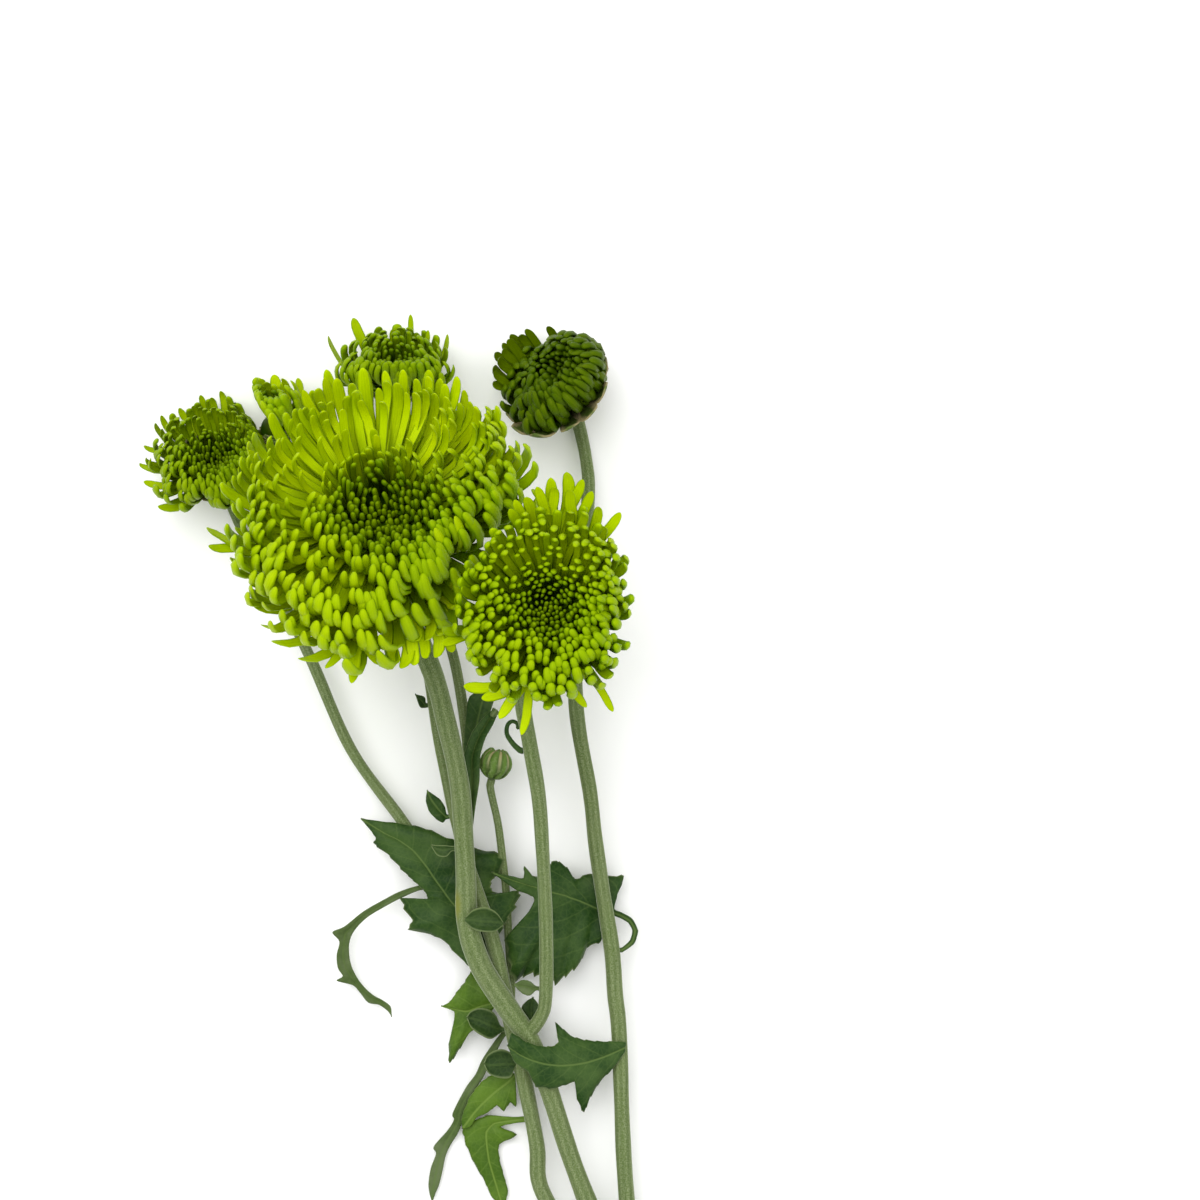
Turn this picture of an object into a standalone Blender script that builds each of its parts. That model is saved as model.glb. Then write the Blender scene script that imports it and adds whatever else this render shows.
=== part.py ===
"""Pompon chrysanthemum: one cut spray with six open blooms, one closed bud, its leaves and its stem.

The spray lies on its back: +Y runs from the cut foot of the stem to the blooms, +Z is up. Sizes are in
millimetres in the named values and in metres in the scene. Every floret is placed by the spiral that real
flower heads follow, with its small irregularities drawn from a seeded generator.
"""

import math
import random

import bmesh
import bpy
import numpy as np
from mathutils import Matrix, Vector
from mathutils.bvhtree import BVHTree

MM = 0.001
SPRAY = "pompon_chrysanthemum"
PLAN_CENTRE = (-48.6, -75.0)  # middle of the spray seen from above, which becomes the origin
GOLDEN_ANGLE = math.pi * (3 - math.sqrt(5))

GAP = 0.3  # left between pieces that touch
NEIGHBOUR_GAP = 0.5  # left beside the plane that parts the florets of two crowded heads
CROWDING_DEPTH = 6.0  # a floret this near its neighbour's side starts to bend clear
PRESSED_RADIUS = {("top_bloom", "big_bloom"): 19.0}  # a head that holds more room against another

WIDTH_GAIN = 1.6  # a rim floret is this much wider than one at the middle, over the middle one's width
CREST_SHARE = 0.5  # where the crown is highest, as a share of the head's radius
ROOT_SPREAD = 0.85  # the outermost roots, as a share of the receptacle's radius
ROOT_SINK = 1.5
ROOT_HANDLE = 0.45  # how far a floret keeps its direction at the root and at the tip, over its length
TIP_HANDLE = 0.35
OPENING = 0.7  # how quickly the roots lean out from the middle to the rim
HEART_LEAN = -20  # lean of the innermost tips, over the middle, in degrees
LEAN_SPREAD = 12  # draws for each floret: its lean in degrees, its turn in radians,
TURN_SPREAD = 0.08
REACH_SPREAD = (0.95, 1.03)  # its reach as a share of its place's,
CREST_SPREAD = (-0.02, 0.03)  # and its height as a share of the head's radius
FLORET_STEPS = 5
FLORET_TAPER_AT = (0.0, 0.3, 0.8, 1.0)  # shares of a floret's length
FLORET_TAPER = (0.7, 1.0, 0.95, 0.45)  # its width there
FLORET_THICKNESS = 0.42  # over the keel, as a share of the width

CORE_SIDES = 14
CALYX_SIDES = 14
CALYX_TOP = 0.93  # the cup's rim, as a share of the receptacle's radius
CALYX_BELLY = 1.8  # how long the cup keeps its width before it narrows to the stem
BRACT_RELIEF = 0.06
LEAF_THICKNESS = 0.7
STEM_ROUNDNESS = 2
STEM_SPACING = 16.0
SEATING_STEPS = 8
NECK_LENGTH = 1.6  # the straight piece under a calyx, in stem radii

# Flower heads: the rim plane's middle, the way the head faces, its radius, the height of its crown over the
# rim, how much of that height is left in its hollow middle, the receptacle's radius and depth below the rim
# plane, the number and width of its florets, the angles from the axis at root and tip of its outermost
# florets, and the height, tiers and foot radius of its calyx.
HEADS = {
    "big_bloom": dict(
        centre=(-54.2, 22.5, 46.0), axis=(-0.05, 0.52, 0.85), radius=41.0, crown=13.0, hollow=0.3,
        core=10.5, depth=12.0, florets=84, width=7.0, root_angle=92, tip_angle=50, calyx=6.5, rows=5,
        neck=2.9, seed=11),
    "front_bloom": dict(
        centre=(-12.4, -1.2, 62.0), axis=(0.0, 0.25, 0.97), radius=26.0, crown=8.5, hollow=0.45,
        core=8.0, depth=8.5, florets=70, width=5.0, root_angle=96, tip_angle=52, calyx=5.0, rows=5, neck=2.2,
        seed=23),
    "left_bloom": dict(
        centre=(-96.2, 36.0, 11.9), axis=(-0.12, 0.62, 0.77), radius=18.5, crown=6.5, hollow=0.4,
        core=5.6, depth=6.0, florets=42, width=3.9, root_angle=92, tip_angle=42, calyx=4.2, rows=4, neck=1.7,
        seed=31),
    "top_bloom": dict(
        centre=(-51.4, 57.0, 14.0), axis=(0.0, 0.8, 0.6), radius=16.0, crown=6.5, hollow=0.5,
        core=5.2, depth=5.6, florets=36, width=3.8, root_angle=90, tip_angle=38, calyx=4.0, rows=4, neck=1.9,
        seed=44),
    "side_bloom": dict(
        centre=(-11.9, 53.6, 12.6), axis=(-0.42, 0.45, 0.79), radius=15.0, crown=7.0, hollow=0.5,
        core=5.6, depth=6.0, florets=42, width=3.6, root_angle=84, tip_angle=14, calyx=4.2, rows=4, neck=1.9,
        seed=57),
    "rear_bloom": dict(
        centre=(-82.0, 46.0, 12.4), axis=(-0.25, 0.85, 0.45), radius=11.0, crown=5.5, hollow=0.5,
        core=4.0, depth=4.6, florets=26, width=3.3, root_angle=86, tip_angle=34, calyx=3.4, rows=4, neck=1.4,
        seed=61),
}

# Where two heads press on each other, a plane parts their florets. It is worked out from their radii, except
# here: the first head stays below the plane through this point with this upward direction.
BORDERS = {("big_bloom", "front_bloom"): ((-31.0, 0.0, 57.0), (0.65, -0.3, 0.7))}

# Florets that hang loose from a head: the side they leave in degrees, anticlockwise from the head's right
# as seen from in front, their reach over the head's radius, the height of their tips over the rim plane, and
# their angle from the axis at the tip.
STRAYS = {
    "big_bloom": (
        (196, 1.02, -2, 80), (207, 1.05, -5, 95), (222, 1.0, -4, 90), (255, 0.95, -4, 95),
        (100, 1.02, 3, 60)),
    "front_bloom": (
        (196, 1.04, -4, 104), (232, 1.0, -6, 118), (250, 0.92, -8, 128), (266, 1.2, -12, 150),
        (292, 0.95, -6, 118)),
    "left_bloom": ((176, 1.06, -1, 80), (190, 1.1, -2, 92), (214, 1.0, -2, 96)),
    "top_bloom": (
        (150, 1.2, 3, 25), (128, 1.1, 6, 10), (100, 0.7, 11, 0), (62, 0.95, 8, 10), (20, 1.15, 3, 22)),
    "side_bloom": ((148, 1.1, -2, 50), (126, 1.08, -1, 44)),
    "rear_bloom": ((140, 1.1, 2, 40), (110, 1.1, 2, 34)),
}

BUD_CENTRE = (-26.0, -40.7, 12.3)
BUD_AXIS = (0.25, 0.95, 0.1)
BUD_RADIUS = 3.9
BUD_RIBS = 9
BUD_RIB_DEPTH = 0.09
BUD_RINGS = 8
BUD_DIMPLE = 1.2

# Stems: points (x, y, z, radius) from where each leaves its parent to its tip, and the head that it carries.
STEMS = {
    "main": dict(head="big_bloom", route=(
        (17.2, -227.0, 3.3, 3.2), (12.5, -200.0, 3.8, 3.0), (9.0, -182.0, 4.5, 2.8), (1.5, -163.0, 5.9, 2.6),
        (-7.0, -140.5, 7.7, 2.4), (-13.0, -121.8, 9.6, 2.4), (-17.5, -110.0, 11.2, 2.6),
        (-22.5, -102.5, 12.4, 2.8), (-27.8, -94.5, 13.4, 2.8), (-30.5, -89.2, 14.0, 2.7),
        (-32.8, -81.2, 14.8, 2.6), (-33.3, -70.0, 15.8, 2.5), (-34.3, -51.0, 18.2, 2.4),
        (-35.5, -41.8, 19.6, 2.4), (-38.0, -30.5, 21.5, 2.5), (-41.0, -19.0, 23.0, 2.5),
        (-47.0, -4.0, 25.0, 2.5))),
    "front": dict(head="front_bloom", route=(
        (-18.5, -109.0, 11.3, 1.9), (-14.8, -104.0, 13.4, 1.8), (-13.5, -98.5, 15.5, 1.7),
        (-13.4, -80.3, 20.5, 1.7), (-14.3, -59.0, 26.5, 1.7), (-15.2, -47.3, 29.5, 1.8),
        (-17.3, -34.7, 33.0, 1.9), (-18.9, -23.7, 36.0, 2.0), (-17.0, -14.0, 38.0, 2.0))),
    "shoot": dict(head="top_bloom", route=(
        (12.5, -200.0, 4.0, 2.0), (2.0, -176.0, 4.8, 2.0), (-8.0, -160.0, 5.3, 2.0),
        (-15.0, -147.0, 5.6, 2.0), (-15.8, -137.0, 5.7, 2.0), (-18.5, -123.0, 5.7, 2.0),
        (-20.8, -112.5, 6.2, 1.95),
        (-23.0, -102.5, 8.2, 1.95), (-25.5, -90.0, 10.2, 1.9), (-28.0, -81.2, 10.6, 1.85),
        (-31.0, -72.5, 10.6, 1.75), (-33.5, -65.0, 10.5, 1.75), (-35.3, -57.0, 10.4, 1.7),
        (-37.0, -50.0, 10.2, 1.7), (-39.8, -36.2, 10.0, 1.65), (-42.0, -22.5, 9.8, 1.65),
        (-46.0, 5.0, 9.2, 1.6), (-49.5, 30.0, 8.0, 1.6))),
    "left": dict(head="left_bloom", route=(
        (-23.0, -102.5, 7.8, 1.5), (-25.8, -96.0, 5.9, 1.5), (-29.8, -87.0, 5.2, 1.5),
        (-36.0, -76.0, 5.0, 1.5), (-43.0, -65.5, 5.0, 1.5), (-50.0, -55.0, 5.0, 1.45),
        (-62.5, -37.5, 5.3, 1.4), (-72.5, -15.0, 5.6, 1.4), (-81.2, 2.5, 4.8, 1.35),
        (-89.5, 16.5, 3.0, 1.3))),
    "rear": dict(head="rear_bloom", route=(
        (-33.5, -65.0, 10.2, 1.35), (-33.6, -58.0, 10.1, 1.35), (-33.4, -48.0, 9.8, 1.35),
        (-33.3, -35.0, 9.5, 1.3), (-36.5, -15.0, 8.5, 1.3), (-41.0, -4.0, 6.2, 1.2), (-48.0, 7.0, 4.2, 1.15),
        (-60.0, 20.0, 4.4, 1.1), (-71.0, 30.0, 5.4, 1.1))),
    "side": dict(head="side_bloom", route=(
        (10.0, -185.0, 4.3, 1.9), (8.0, -165.0, 4.9, 2.0), (6.0, -140.0, 5.6, 2.0), (4.8, -109.0, 6.5, 2.0),
        (3.8, -99.0, 6.9, 2.0), (3.0, -88.0, 7.2, 2.1), (0.8, -74.0, 7.8, 1.9), (-1.2, -60.0, 8.3, 1.9),
        (-2.5, -48.2, 8.8, 1.9), (-6.0, -26.0, 9.0, 1.9), (-5.5, 0.0, 7.5, 1.8), (-3.0, 25.0, 5.0, 1.7),
        (-3.6, 36.0, 3.6, 1.6))),
    "bud": dict(head=None, route=(
        (-22.6, -104.0, 7.6, 1.1), (-22.3, -97.0, 6.2, 1.1), (-22.6, -90.0, 5.5, 1.1),
        (-23.0, -84.0, 5.4, 1.05),
        (-23.6, -73.0, 5.6, 1.0), (-24.4, -65.0, 7.3, 1.0), (-25.5, -56.0, 9.7, 1.0),
        (-26.9, -49.5, 11.2, 1.0))),
}
FOOT_CUT_POINT = (16.0, -221.0, 3.3)
FOOT_CUT_NORMAL = (0.55, -0.8, 0.2)

# Leaves: rows from the stalk to the tip. A row is a midrib point (x, y, z) with the edge on its left and the
# edge on its right, and the folds say how far each half climbs for each millimetre that it reaches out.
LEAVES = {
    "broad_leaf": dict(folds=(-0.02, 0.0), tip=(-60.0, -54.8, 6.9), rows=(
        ((-28.4, -94.2, 8.0), (-28.6, -95.0), (-28.2, -93.4)),
        ((-31.5, -87.0, 7.6), (-34.2, -90.5), (-25.3, -84.2)),
        ((-33.5, -82.5, 7.6), (-40.0, -84.8), (-23.5, -80.5)),
        ((-34.8, -79.2, 7.6), (-47.8, -82.5), (-21.3, -77.0)),
        ((-36.0, -77.0, 7.6), (-47.2, -80.2), (-20.0, -72.8)),
        ((-37.3, -75.6, 7.6), (-50.2, -74.6), (-24.2, -72.0)),
        ((-39.2, -72.8, 7.6), (-43.6, -74.4), (-25.8, -70.0)),
        ((-41.0, -70.5, 7.6), (-44.6, -72.6), (-26.4, -63.5)),
        ((-43.5, -66.8, 7.5), (-49.2, -68.0), (-31.5, -62.2)),
        ((-46.8, -62.8, 7.4), (-53.0, -64.0), (-38.2, -59.5)),
        ((-50.5, -60.2, 7.2), (-56.8, -61.0), (-44.5, -57.0)),
        ((-54.0, -58.5, 7.1), (-56.2, -59.5), (-50.5, -56.0)))),
    "hanging_leaf": dict(folds=(0.25, 0.25), tip=(-52.2, -104.2, 2.2), rows=(
        ((-41.0, -71.8, 5.2), (-40.8, -72.5), (-41.2, -71.2)),
        ((-45.5, -72.2, 5.5), (-45.2, -73.0), (-45.8, -71.5)),
        ((-50.8, -73.8, 5.8), (-50.2, -74.8), (-51.4, -72.6)),
        ((-56.2, -76.8, 5.4), (-54.7, -77.4), (-58.2, -76.4)),
        ((-60.8, -80.8, 4.6), (-58.2, -80.0), (-66.5, -82.8)),
        ((-63.5, -85.5, 3.8), (-62.0, -85.5), (-65.5, -85.2)),
        ((-64.5, -89.5, 3.2), (-63.0, -89.5), (-66.0, -89.5)),
        ((-63.0, -93.5, 2.8), (-61.5, -93.0), (-66.2, -95.0)),
        ((-60.8, -96.5, 2.6), (-59.6, -96.0), (-62.5, -96.8)),
        ((-57.8, -99.2, 2.4), (-56.8, -98.2), (-59.2, -99.8)))),
    "dark_leaf": dict(folds=(0.08, 0.05), tip=(-27.2, -68.0, 10.4), rows=(
        ((5.7, -87.6, 7.2), (5.6, -87.0), (5.8, -88.2)),
        ((8.0, -85.8, 6.6), (7.5, -85.3), (8.6, -86.2)),
        ((8.8, -83.0, 5.7), (8.1, -83.0), (9.6, -83.0)),
        ((7.6, -80.6, 4.9), (7.1, -81.1), (8.1, -80.0)),
        ((5.2, -79.2, 4.5), (5.0, -79.9), (5.5, -78.5)),
        ((3.2, -78.5, 4.4), (2.9, -79.4), (3.6, -77.6)),
        ((1.5, -78.0, 4.4), (1.5, -83.0), (4.4, -74.0)),
        ((0.0, -77.8, 4.5), (0.0, -86.0), (6.0, -69.3)),
        ((-1.5, -77.2, 4.7), (-3.0, -87.0), (0.5, -69.2)),
        ((-3.0, -76.5, 4.9), (-5.0, -91.0), (-2.5, -68.6)),
        ((-4.5, -75.8, 5.2), (-8.0, -93.8), (-6.2, -70.0)),
        ((-6.0, -75.2, 5.5), (-11.2, -96.2), (-8.2, -67.2)),
        ((-7.2, -74.8, 5.9), (-13.8, -93.5), (-11.0, -65.3)),
        ((-8.5, -74.2, 6.2), (-18.5, -94.0), (-13.0, -66.5)),
        ((-9.8, -73.8, 6.6), (-21.4, -95.4), (-14.3, -68.6)),
        ((-11.0, -73.5, 7.0), (-22.6, -91.2), (-16.0, -69.3)),
        ((-12.2, -73.2, 7.4), (-23.8, -85.0), (-16.8, -69.1)),
        ((-13.5, -72.8, 7.8), (-18.9, -79.6), (-17.5, -69.5)),
        ((-15.0, -72.2, 8.3), (-16.6, -76.0), (-19.0, -66.5)),
        ((-17.5, -71.5, 9.0), (-16.8, -74.2), (-19.2, -69.6)),
        ((-21.2, -70.2, 9.9), (-21.5, -72.2), (-22.2, -69.0)))),
    "front_leaf": dict(folds=(-0.12, 0.1), tip=(-23.0, -111.0, 14.4), rows=(
        ((6.2, -112.0, 8.8), (6.0, -113.4), (6.4, -110.6)),
        ((3.5, -113.2, 9.5), (3.0, -117.5), (3.5, -110.3)),
        ((1.0, -114.2, 10.1), (0.0, -120.5), (0.0, -110.3)),
        ((-1.5, -115.0, 10.7), (-2.5, -124.5), (-4.0, -109.8)),
        ((-3.5, -115.5, 11.3), (-4.0, -128.2), (-7.5, -108.5)),
        ((-5.5, -115.8, 11.9), (-5.8, -124.5), (-11.2, -105.3)),
        ((-7.5, -116.0, 12.5), (-6.3, -120.3), (-10.4, -110.0)),
        ((-10.5, -116.0, 13.4), (-11.0, -121.8), (-12.0, -111.2)),
        ((-13.8, -115.5, 14.4), (-16.0, -121.2), (-15.0, -111.0)),
        ((-17.0, -114.5, 14.9), (-17.8, -117.6), (-18.5, -109.8)),
        ((-19.8, -113.2, 14.9), (-21.2, -115.2), (-22.0, -107.6)))),
    "upright_leaf_back": dict(folds=(0.1, 0.1), tip=(-25.0, -19.5, 13.2), rows=(
        ((-32.3, -48.2, 11.8), (-32.9, -48.2), (-31.8, -48.2)),
        ((-31.9, -44.0, 11.8), (-32.9, -44.0), (-31.0, -44.0)),
        ((-32.0, -37.5, 11.9), (-34.0, -37.5), (-30.2, -37.5)),
        ((-30.5, -30.0, 12.0), (-33.5, -29.5), (-28.2, -30.5)),
        ((-29.2, -25.0, 12.4), (-32.5, -24.0), (-26.6, -25.6)))),
    "upright_leaf_front": dict(folds=(0.3, 0.3), tip=(-26.0, -27.8, 16.0), rows=(
        ((-32.4, -57.5, 14.45), (-33.0, -57.5), (-31.8, -57.5)),
        ((-32.0, -51.5, 14.0), (-33.2, -51.5), (-31.0, -51.5)),
        ((-31.8, -45.0, 13.7), (-33.6, -45.0), (-30.0, -45.0)),
        ((-31.8, -38.8, 13.8), (-33.9, -38.8), (-29.8, -38.8)),
        ((-30.0, -33.8, 14.5), (-31.8, -32.8), (-28.5, -34.4)),
        ((-27.8, -30.0, 15.5), (-28.9, -29.1), (-26.6, -31.0)))),
    "pointed_leaf": dict(folds=(0.15, 0.15), tip=(-43.2, -47.5, 10.6), rows=(
        ((-38.4, -54.2, 10.0), (-38.5, -54.9), (-38.3, -53.5)),
        ((-39.4, -53.4, 10.1), (-39.6, -55.6), (-38.8, -51.6)),
        ((-40.8, -51.8, 10.2), (-42.3, -53.4), (-39.8, -50.0)),
        ((-42.2, -49.8, 10.4), (-43.5, -50.3), (-41.3, -48.8)))),
    "cupped_leaflet": dict(folds=(0.35, 0.35), tip=(-23.8, -80.5, 17.0), rows=(
        ((-33.3, -79.3, 17.9), (-33.2, -78.7), (-33.4, -79.9)),
        ((-31.5, -79.5, 17.9), (-31.5, -76.9), (-31.5, -81.6)),
        ((-28.8, -79.8, 17.7), (-28.5, -76.2), (-28.8, -82.3)),
        ((-26.0, -80.0, 17.4), (-25.7, -77.6), (-26.0, -82.2)))),
    "small_cupped_leaflet": dict(folds=(0.3, 0.3), tip=(-42.0, -61.0, 15.6), rows=(
        ((-36.9, -61.8, 16.3), (-36.9, -62.4), (-36.9, -61.2)),
        ((-38.4, -62.2, 15.9), (-38.3, -63.8), (-38.4, -61.0)),
        ((-40.3, -62.0, 15.7), (-40.5, -63.4), (-40.3, -61.0)))),
    "small_bract": dict(folds=(0.2, 0.2), tip=(-46.2, -23.5, 10.6), rows=(
        ((-43.8, -26.3, 9.6), (-44.0, -27.0), (-43.5, -25.7)),
        ((-44.6, -25.4, 9.9), (-45.1, -26.6), (-43.9, -24.2)))),
    "upper_round_leaflet": dict(folds=(0.22, 0.22), tip=(-33.3, -104.5, 8.0), rows=(
        ((-24.7, -107.8, 5.6), (-24.7, -108.5), (-24.7, -107.1)),
        ((-27.2, -106.8, 6.6), (-27.3, -110.0), (-26.6, -103.4)),
        ((-30.0, -105.5, 7.2), (-29.8, -109.0), (-29.8, -102.2)),
        ((-32.2, -104.8, 7.6), (-32.3, -107.0), (-32.3, -103.0)))),
    "lower_round_leaflet": dict(folds=(0.2, 0.2), tip=(-29.0, -116.0, 8.8), rows=(
        ((-21.2, -116.2, 7.5), (-21.3, -116.9), (-21.2, -115.5)),
        ((-23.0, -116.3, 7.9), (-22.4, -119.4), (-22.6, -113.2)),
        ((-25.4, -116.3, 8.2), (-25.1, -119.6), (-25.2, -112.4)),
        ((-27.8, -116.5, 8.4), (-27.8, -118.5), (-28.0, -113.8)))),
    "pale_leaf": dict(folds=(-0.03, -0.03), tip=(-40.0, -102.2, 2.6), rows=(
        ((-26.0, -101.0, 4.9), (-26.1, -101.7), (-25.9, -100.3)),
        ((-29.0, -101.8, 4.5), (-30.0, -107.5), (-30.0, -93.8)),
        ((-31.0, -102.5, 4.2), (-32.5, -108.5), (-32.5, -93.4)),
        ((-32.6, -103.2, 3.9), (-35.5, -113.2), (-34.0, -96.0)),
        ((-33.8, -103.4, 3.6), (-37.8, -116.5), (-35.8, -98.2)),
        ((-34.9, -103.2, 3.3), (-38.0, -111.5), (-37.0, -100.0)),
        ((-36.0, -102.9, 3.0), (-36.7, -106.5), (-38.0, -101.2)),
        ((-37.0, -102.7, 2.8), (-36.4, -103.7), (-38.8, -101.7)))),
    "long_leaf": dict(folds=(0.0, 0.0), tip=(-42.2, -152.0, 1.0), rows=(
        ((-24.2, -109.2, 3.9), (-24.0, -109.9), (-24.7, -108.6)),
        ((-28.5, -115.8, 3.0), (-27.7, -116.9), (-29.3, -115.0)),
        ((-32.2, -122.0, 1.7), (-31.2, -122.8), (-33.3, -121.5)),
        ((-35.2, -128.0, 1.4), (-33.8, -127.5), (-37.0, -128.2)),
        ((-38.0, -134.0, 1.3), (-36.0, -133.5), (-39.8, -134.0)),
        ((-39.8, -137.8, 1.2), (-38.2, -137.5), (-42.2, -137.0)),
        ((-41.0, -142.5, 1.1), (-39.5, -142.8), (-42.8, -142.0)),
        ((-41.8, -147.0, 1.1), (-40.8, -147.2), (-43.2, -146.5)))),
    "fingered_leaf": dict(folds=(-0.01, -0.02), tip=(-34.6, -133.0, 2.6), rows=(
        ((-21.3, -119.5, 3.9), (-21.2, -120.2), (-21.4, -118.9)),
        ((-22.6, -120.8, 3.5), (-21.0, -127.4), (-24.2, -118.9)),
        ((-24.0, -122.0, 3.2), (-22.6, -126.4), (-26.2, -119.1)),
        ((-25.6, -123.2, 3.1), (-24.2, -128.6), (-28.2, -119.9)),
        ((-27.6, -124.9, 3.0), (-25.9, -127.2), (-30.3, -121.7)),
        ((-29.6, -126.8, 2.9), (-28.3, -129.0), (-32.5, -124.6)),
        ((-31.8, -129.2, 2.8), (-31.0, -130.2), (-34.3, -128.6)),
        ((-33.4, -131.4, 2.7), (-32.7, -132.6), (-34.9, -130.8)))),
    "bright_leaf": dict(folds=(0.0, 0.0), tip=(-24.2, -154.0, 1.0), rows=(
        ((-17.5, -130.5, 2.9), (-17.5, -131.2), (-17.5, -129.8)),
        ((-22.0, -131.0, 2.2), (-22.0, -131.8), (-22.0, -130.1)),
        ((-26.6, -131.8, 1.6), (-25.2, -132.8), (-28.4, -129.8)),
        ((-28.6, -134.0, 1.5), (-20.8, -134.6), (-34.4, -132.5)),
        ((-28.5, -137.4, 1.4), (-25.4, -137.2), (-34.0, -136.5)),
        ((-27.9, -141.5, 1.3), (-25.2, -141.2), (-31.8, -141.8)),
        ((-26.7, -145.6, 1.2), (-24.2, -145.0), (-29.3, -146.0)),
        ((-25.5, -149.6, 1.1), (-23.2, -148.8), (-27.5, -150.0)))),
    "inner_leaflet": dict(folds=(0.15, 0.15), tip=(-16.8, -99.4, 8.6), rows=(
        ((-17.0, -105.8, 8.9), (-17.6, -105.8), (-16.4, -105.8)),
        ((-17.2, -103.0, 8.6), (-19.6, -102.6), (-14.9, -103.2)),
        ((-17.1, -101.0, 8.5), (-18.9, -100.8), (-15.4, -101.2)))),
    "grey_leaflet": dict(folds=(0.3, 0.3), tip=(-21.5, -95.8, 14.4), rows=(
        ((-15.95, -96.6, 15.3), (-15.95, -97.2), (-15.95, -96.0)),
        ((-17.5, -96.4, 15.0), (-17.5, -98.4), (-17.5, -94.8)),
        ((-19.5, -96.0, 14.7), (-19.5, -97.8), (-19.5, -94.6)))),
}
TENDRIL = (
    (-19.6, -36.8, 32.3), (-21.3, -35.2, 32.6), (-22.8, -32.8, 33.0), (-22.6, -30.6, 33.4),
    (-21.5, -29.8, 33.6),
    (-20.6, -30.4, 33.8))
TENDRIL_RADIUS = 0.55
TENDRIL_SPACING = 1.2

# Finishes: colour and roughness.
FINISHES = {
    "floret": ((0.32, 0.52, 0.03), 0.45),
    "young_floret": ((0.16, 0.36, 0.03), 0.45),
    "calyx": ((0.17, 0.24, 0.06), 0.6),
    "stem": ((0.27, 0.36, 0.14), 0.6),
    "leaf": ((0.05, 0.15, 0.04), 0.6),
    "bud": ((0.30, 0.38, 0.13), 0.6),
}
YOUNG_HEADS = ("side_bloom",)  # half-open, deeper green


def unit(vector):
    """The vector at length one."""
    return np.asarray(vector, float) / np.linalg.norm(vector)


def head_frame(head):
    """A head's right, up and forward directions as the rows of an array."""
    forward = unit(head["axis"])
    right = unit(np.cross((0.0, 1.0, 0.0), forward))
    return np.array((right, np.cross(forward, right), forward))


def make_material(name, colour, roughness):
    """A plain finish."""
    material = bpy.data.materials.new(name)
    material.use_nodes = True
    shader = material.node_tree.nodes["Principled BSDF"]
    shader.inputs["Base Color"].default_value = (*colour, 1.0)
    shader.inputs["Roughness"].default_value = roughness
    shader.inputs["Metallic"].default_value = 0.0
    return material


def link(name, data, collection):
    """A new object for a mesh or a curve."""
    obj = bpy.data.objects.new(name, data)
    collection.objects.link(obj)
    return obj


def clean_mesh(mesh):
    """Welds loose caps, splits faces into triangles and points them outwards."""
    work = bmesh.new()
    work.from_mesh(mesh)
    bmesh.ops.remove_doubles(work, verts=work.verts, dist=0.00001)
    bmesh.ops.recalc_face_normals(work, faces=work.faces)
    work.to_mesh(mesh)
    work.free()


def outer_shell(mesh):
    """Keeps the largest closed shell, which drops loose scraps and fills sealed hollows."""
    work = bmesh.new()
    work.from_mesh(mesh)
    bmesh.ops.triangulate(work, faces=work.faces)
    left = set(work.faces)
    shells = []
    while left:
        shell = {left.pop()}
        edge_front = list(shell)
        while edge_front:
            face = edge_front.pop()
            for edge in face.edges:
                for neighbour in edge.link_faces:
                    if neighbour in left:
                        left.discard(neighbour)
                        shell.add(neighbour)
                        edge_front.append(neighbour)
        volume = sum(
            f.verts[0].co.dot(f.verts[1].co.cross(f.verts[2].co)) for f in shell) / 6
        shells.append((volume, shell))
    shells.sort(key=lambda item: item[0])
    for _, shell in shells[:-1]:
        bmesh.ops.delete(work, geom=list(shell), context="FACES")
    loose = [v for v in work.verts if not v.link_faces]
    bmesh.ops.delete(work, geom=loose, context="VERTS")
    work.to_mesh(mesh)
    work.free()


def as_mesh(curve_object, collection):
    """Replaces a curve object with a mesh object whose caps are welded."""
    bpy.context.view_layer.update()
    depsgraph = bpy.context.evaluated_depsgraph_get()
    mesh = bpy.data.meshes.new_from_object(curve_object.evaluated_get(depsgraph))
    clean_mesh(mesh)
    obj = link(curve_object.name + "_solid", mesh, collection)
    obj.matrix_world = curve_object.matrix_world.copy()
    return obj


def fuse(base, repeats, solver="MANIFOLD"):
    """Joins a collection of repeats to a base solid with one Boolean union."""
    union = base.modifiers.new("repeats", "BOOLEAN")
    union.operation = "UNION"
    union.operand_type = "COLLECTION"
    union.collection = repeats
    union.solver = solver
    bpy.context.view_layer.update()
    depsgraph = bpy.context.evaluated_depsgraph_get()
    joined = bpy.data.meshes.new_from_object(base.evaluated_get(depsgraph))
    base.modifiers.clear()
    base.data = joined
    for obj in list(repeats.objects):
        bpy.data.objects.remove(obj)
    outer_shell(base.data)


def smooth_route(points, spacing):
    """Points along a Catmull-Rom curve through the given ones, about the given distance apart."""
    points = np.array(points, float)
    padded = np.vstack((2 * points[0] - points[1], points, 2 * points[-1] - points[-2]))
    route = []
    for a, b, c, d in zip(padded, padded[1:], padded[2:], padded[3:]):
        steps = max(1, round(np.linalg.norm((c - b)[:3]) / spacing))
        for t in np.arange(steps) / steps:
            route.append(0.5 * (
                2 * b + (c - a) * t + (2 * a - 5 * b + 4 * c - d) * t**2 + (3 * b - a - 3 * c + d) * t**3))
    route.append(points[-1])
    return np.array(route)


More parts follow.
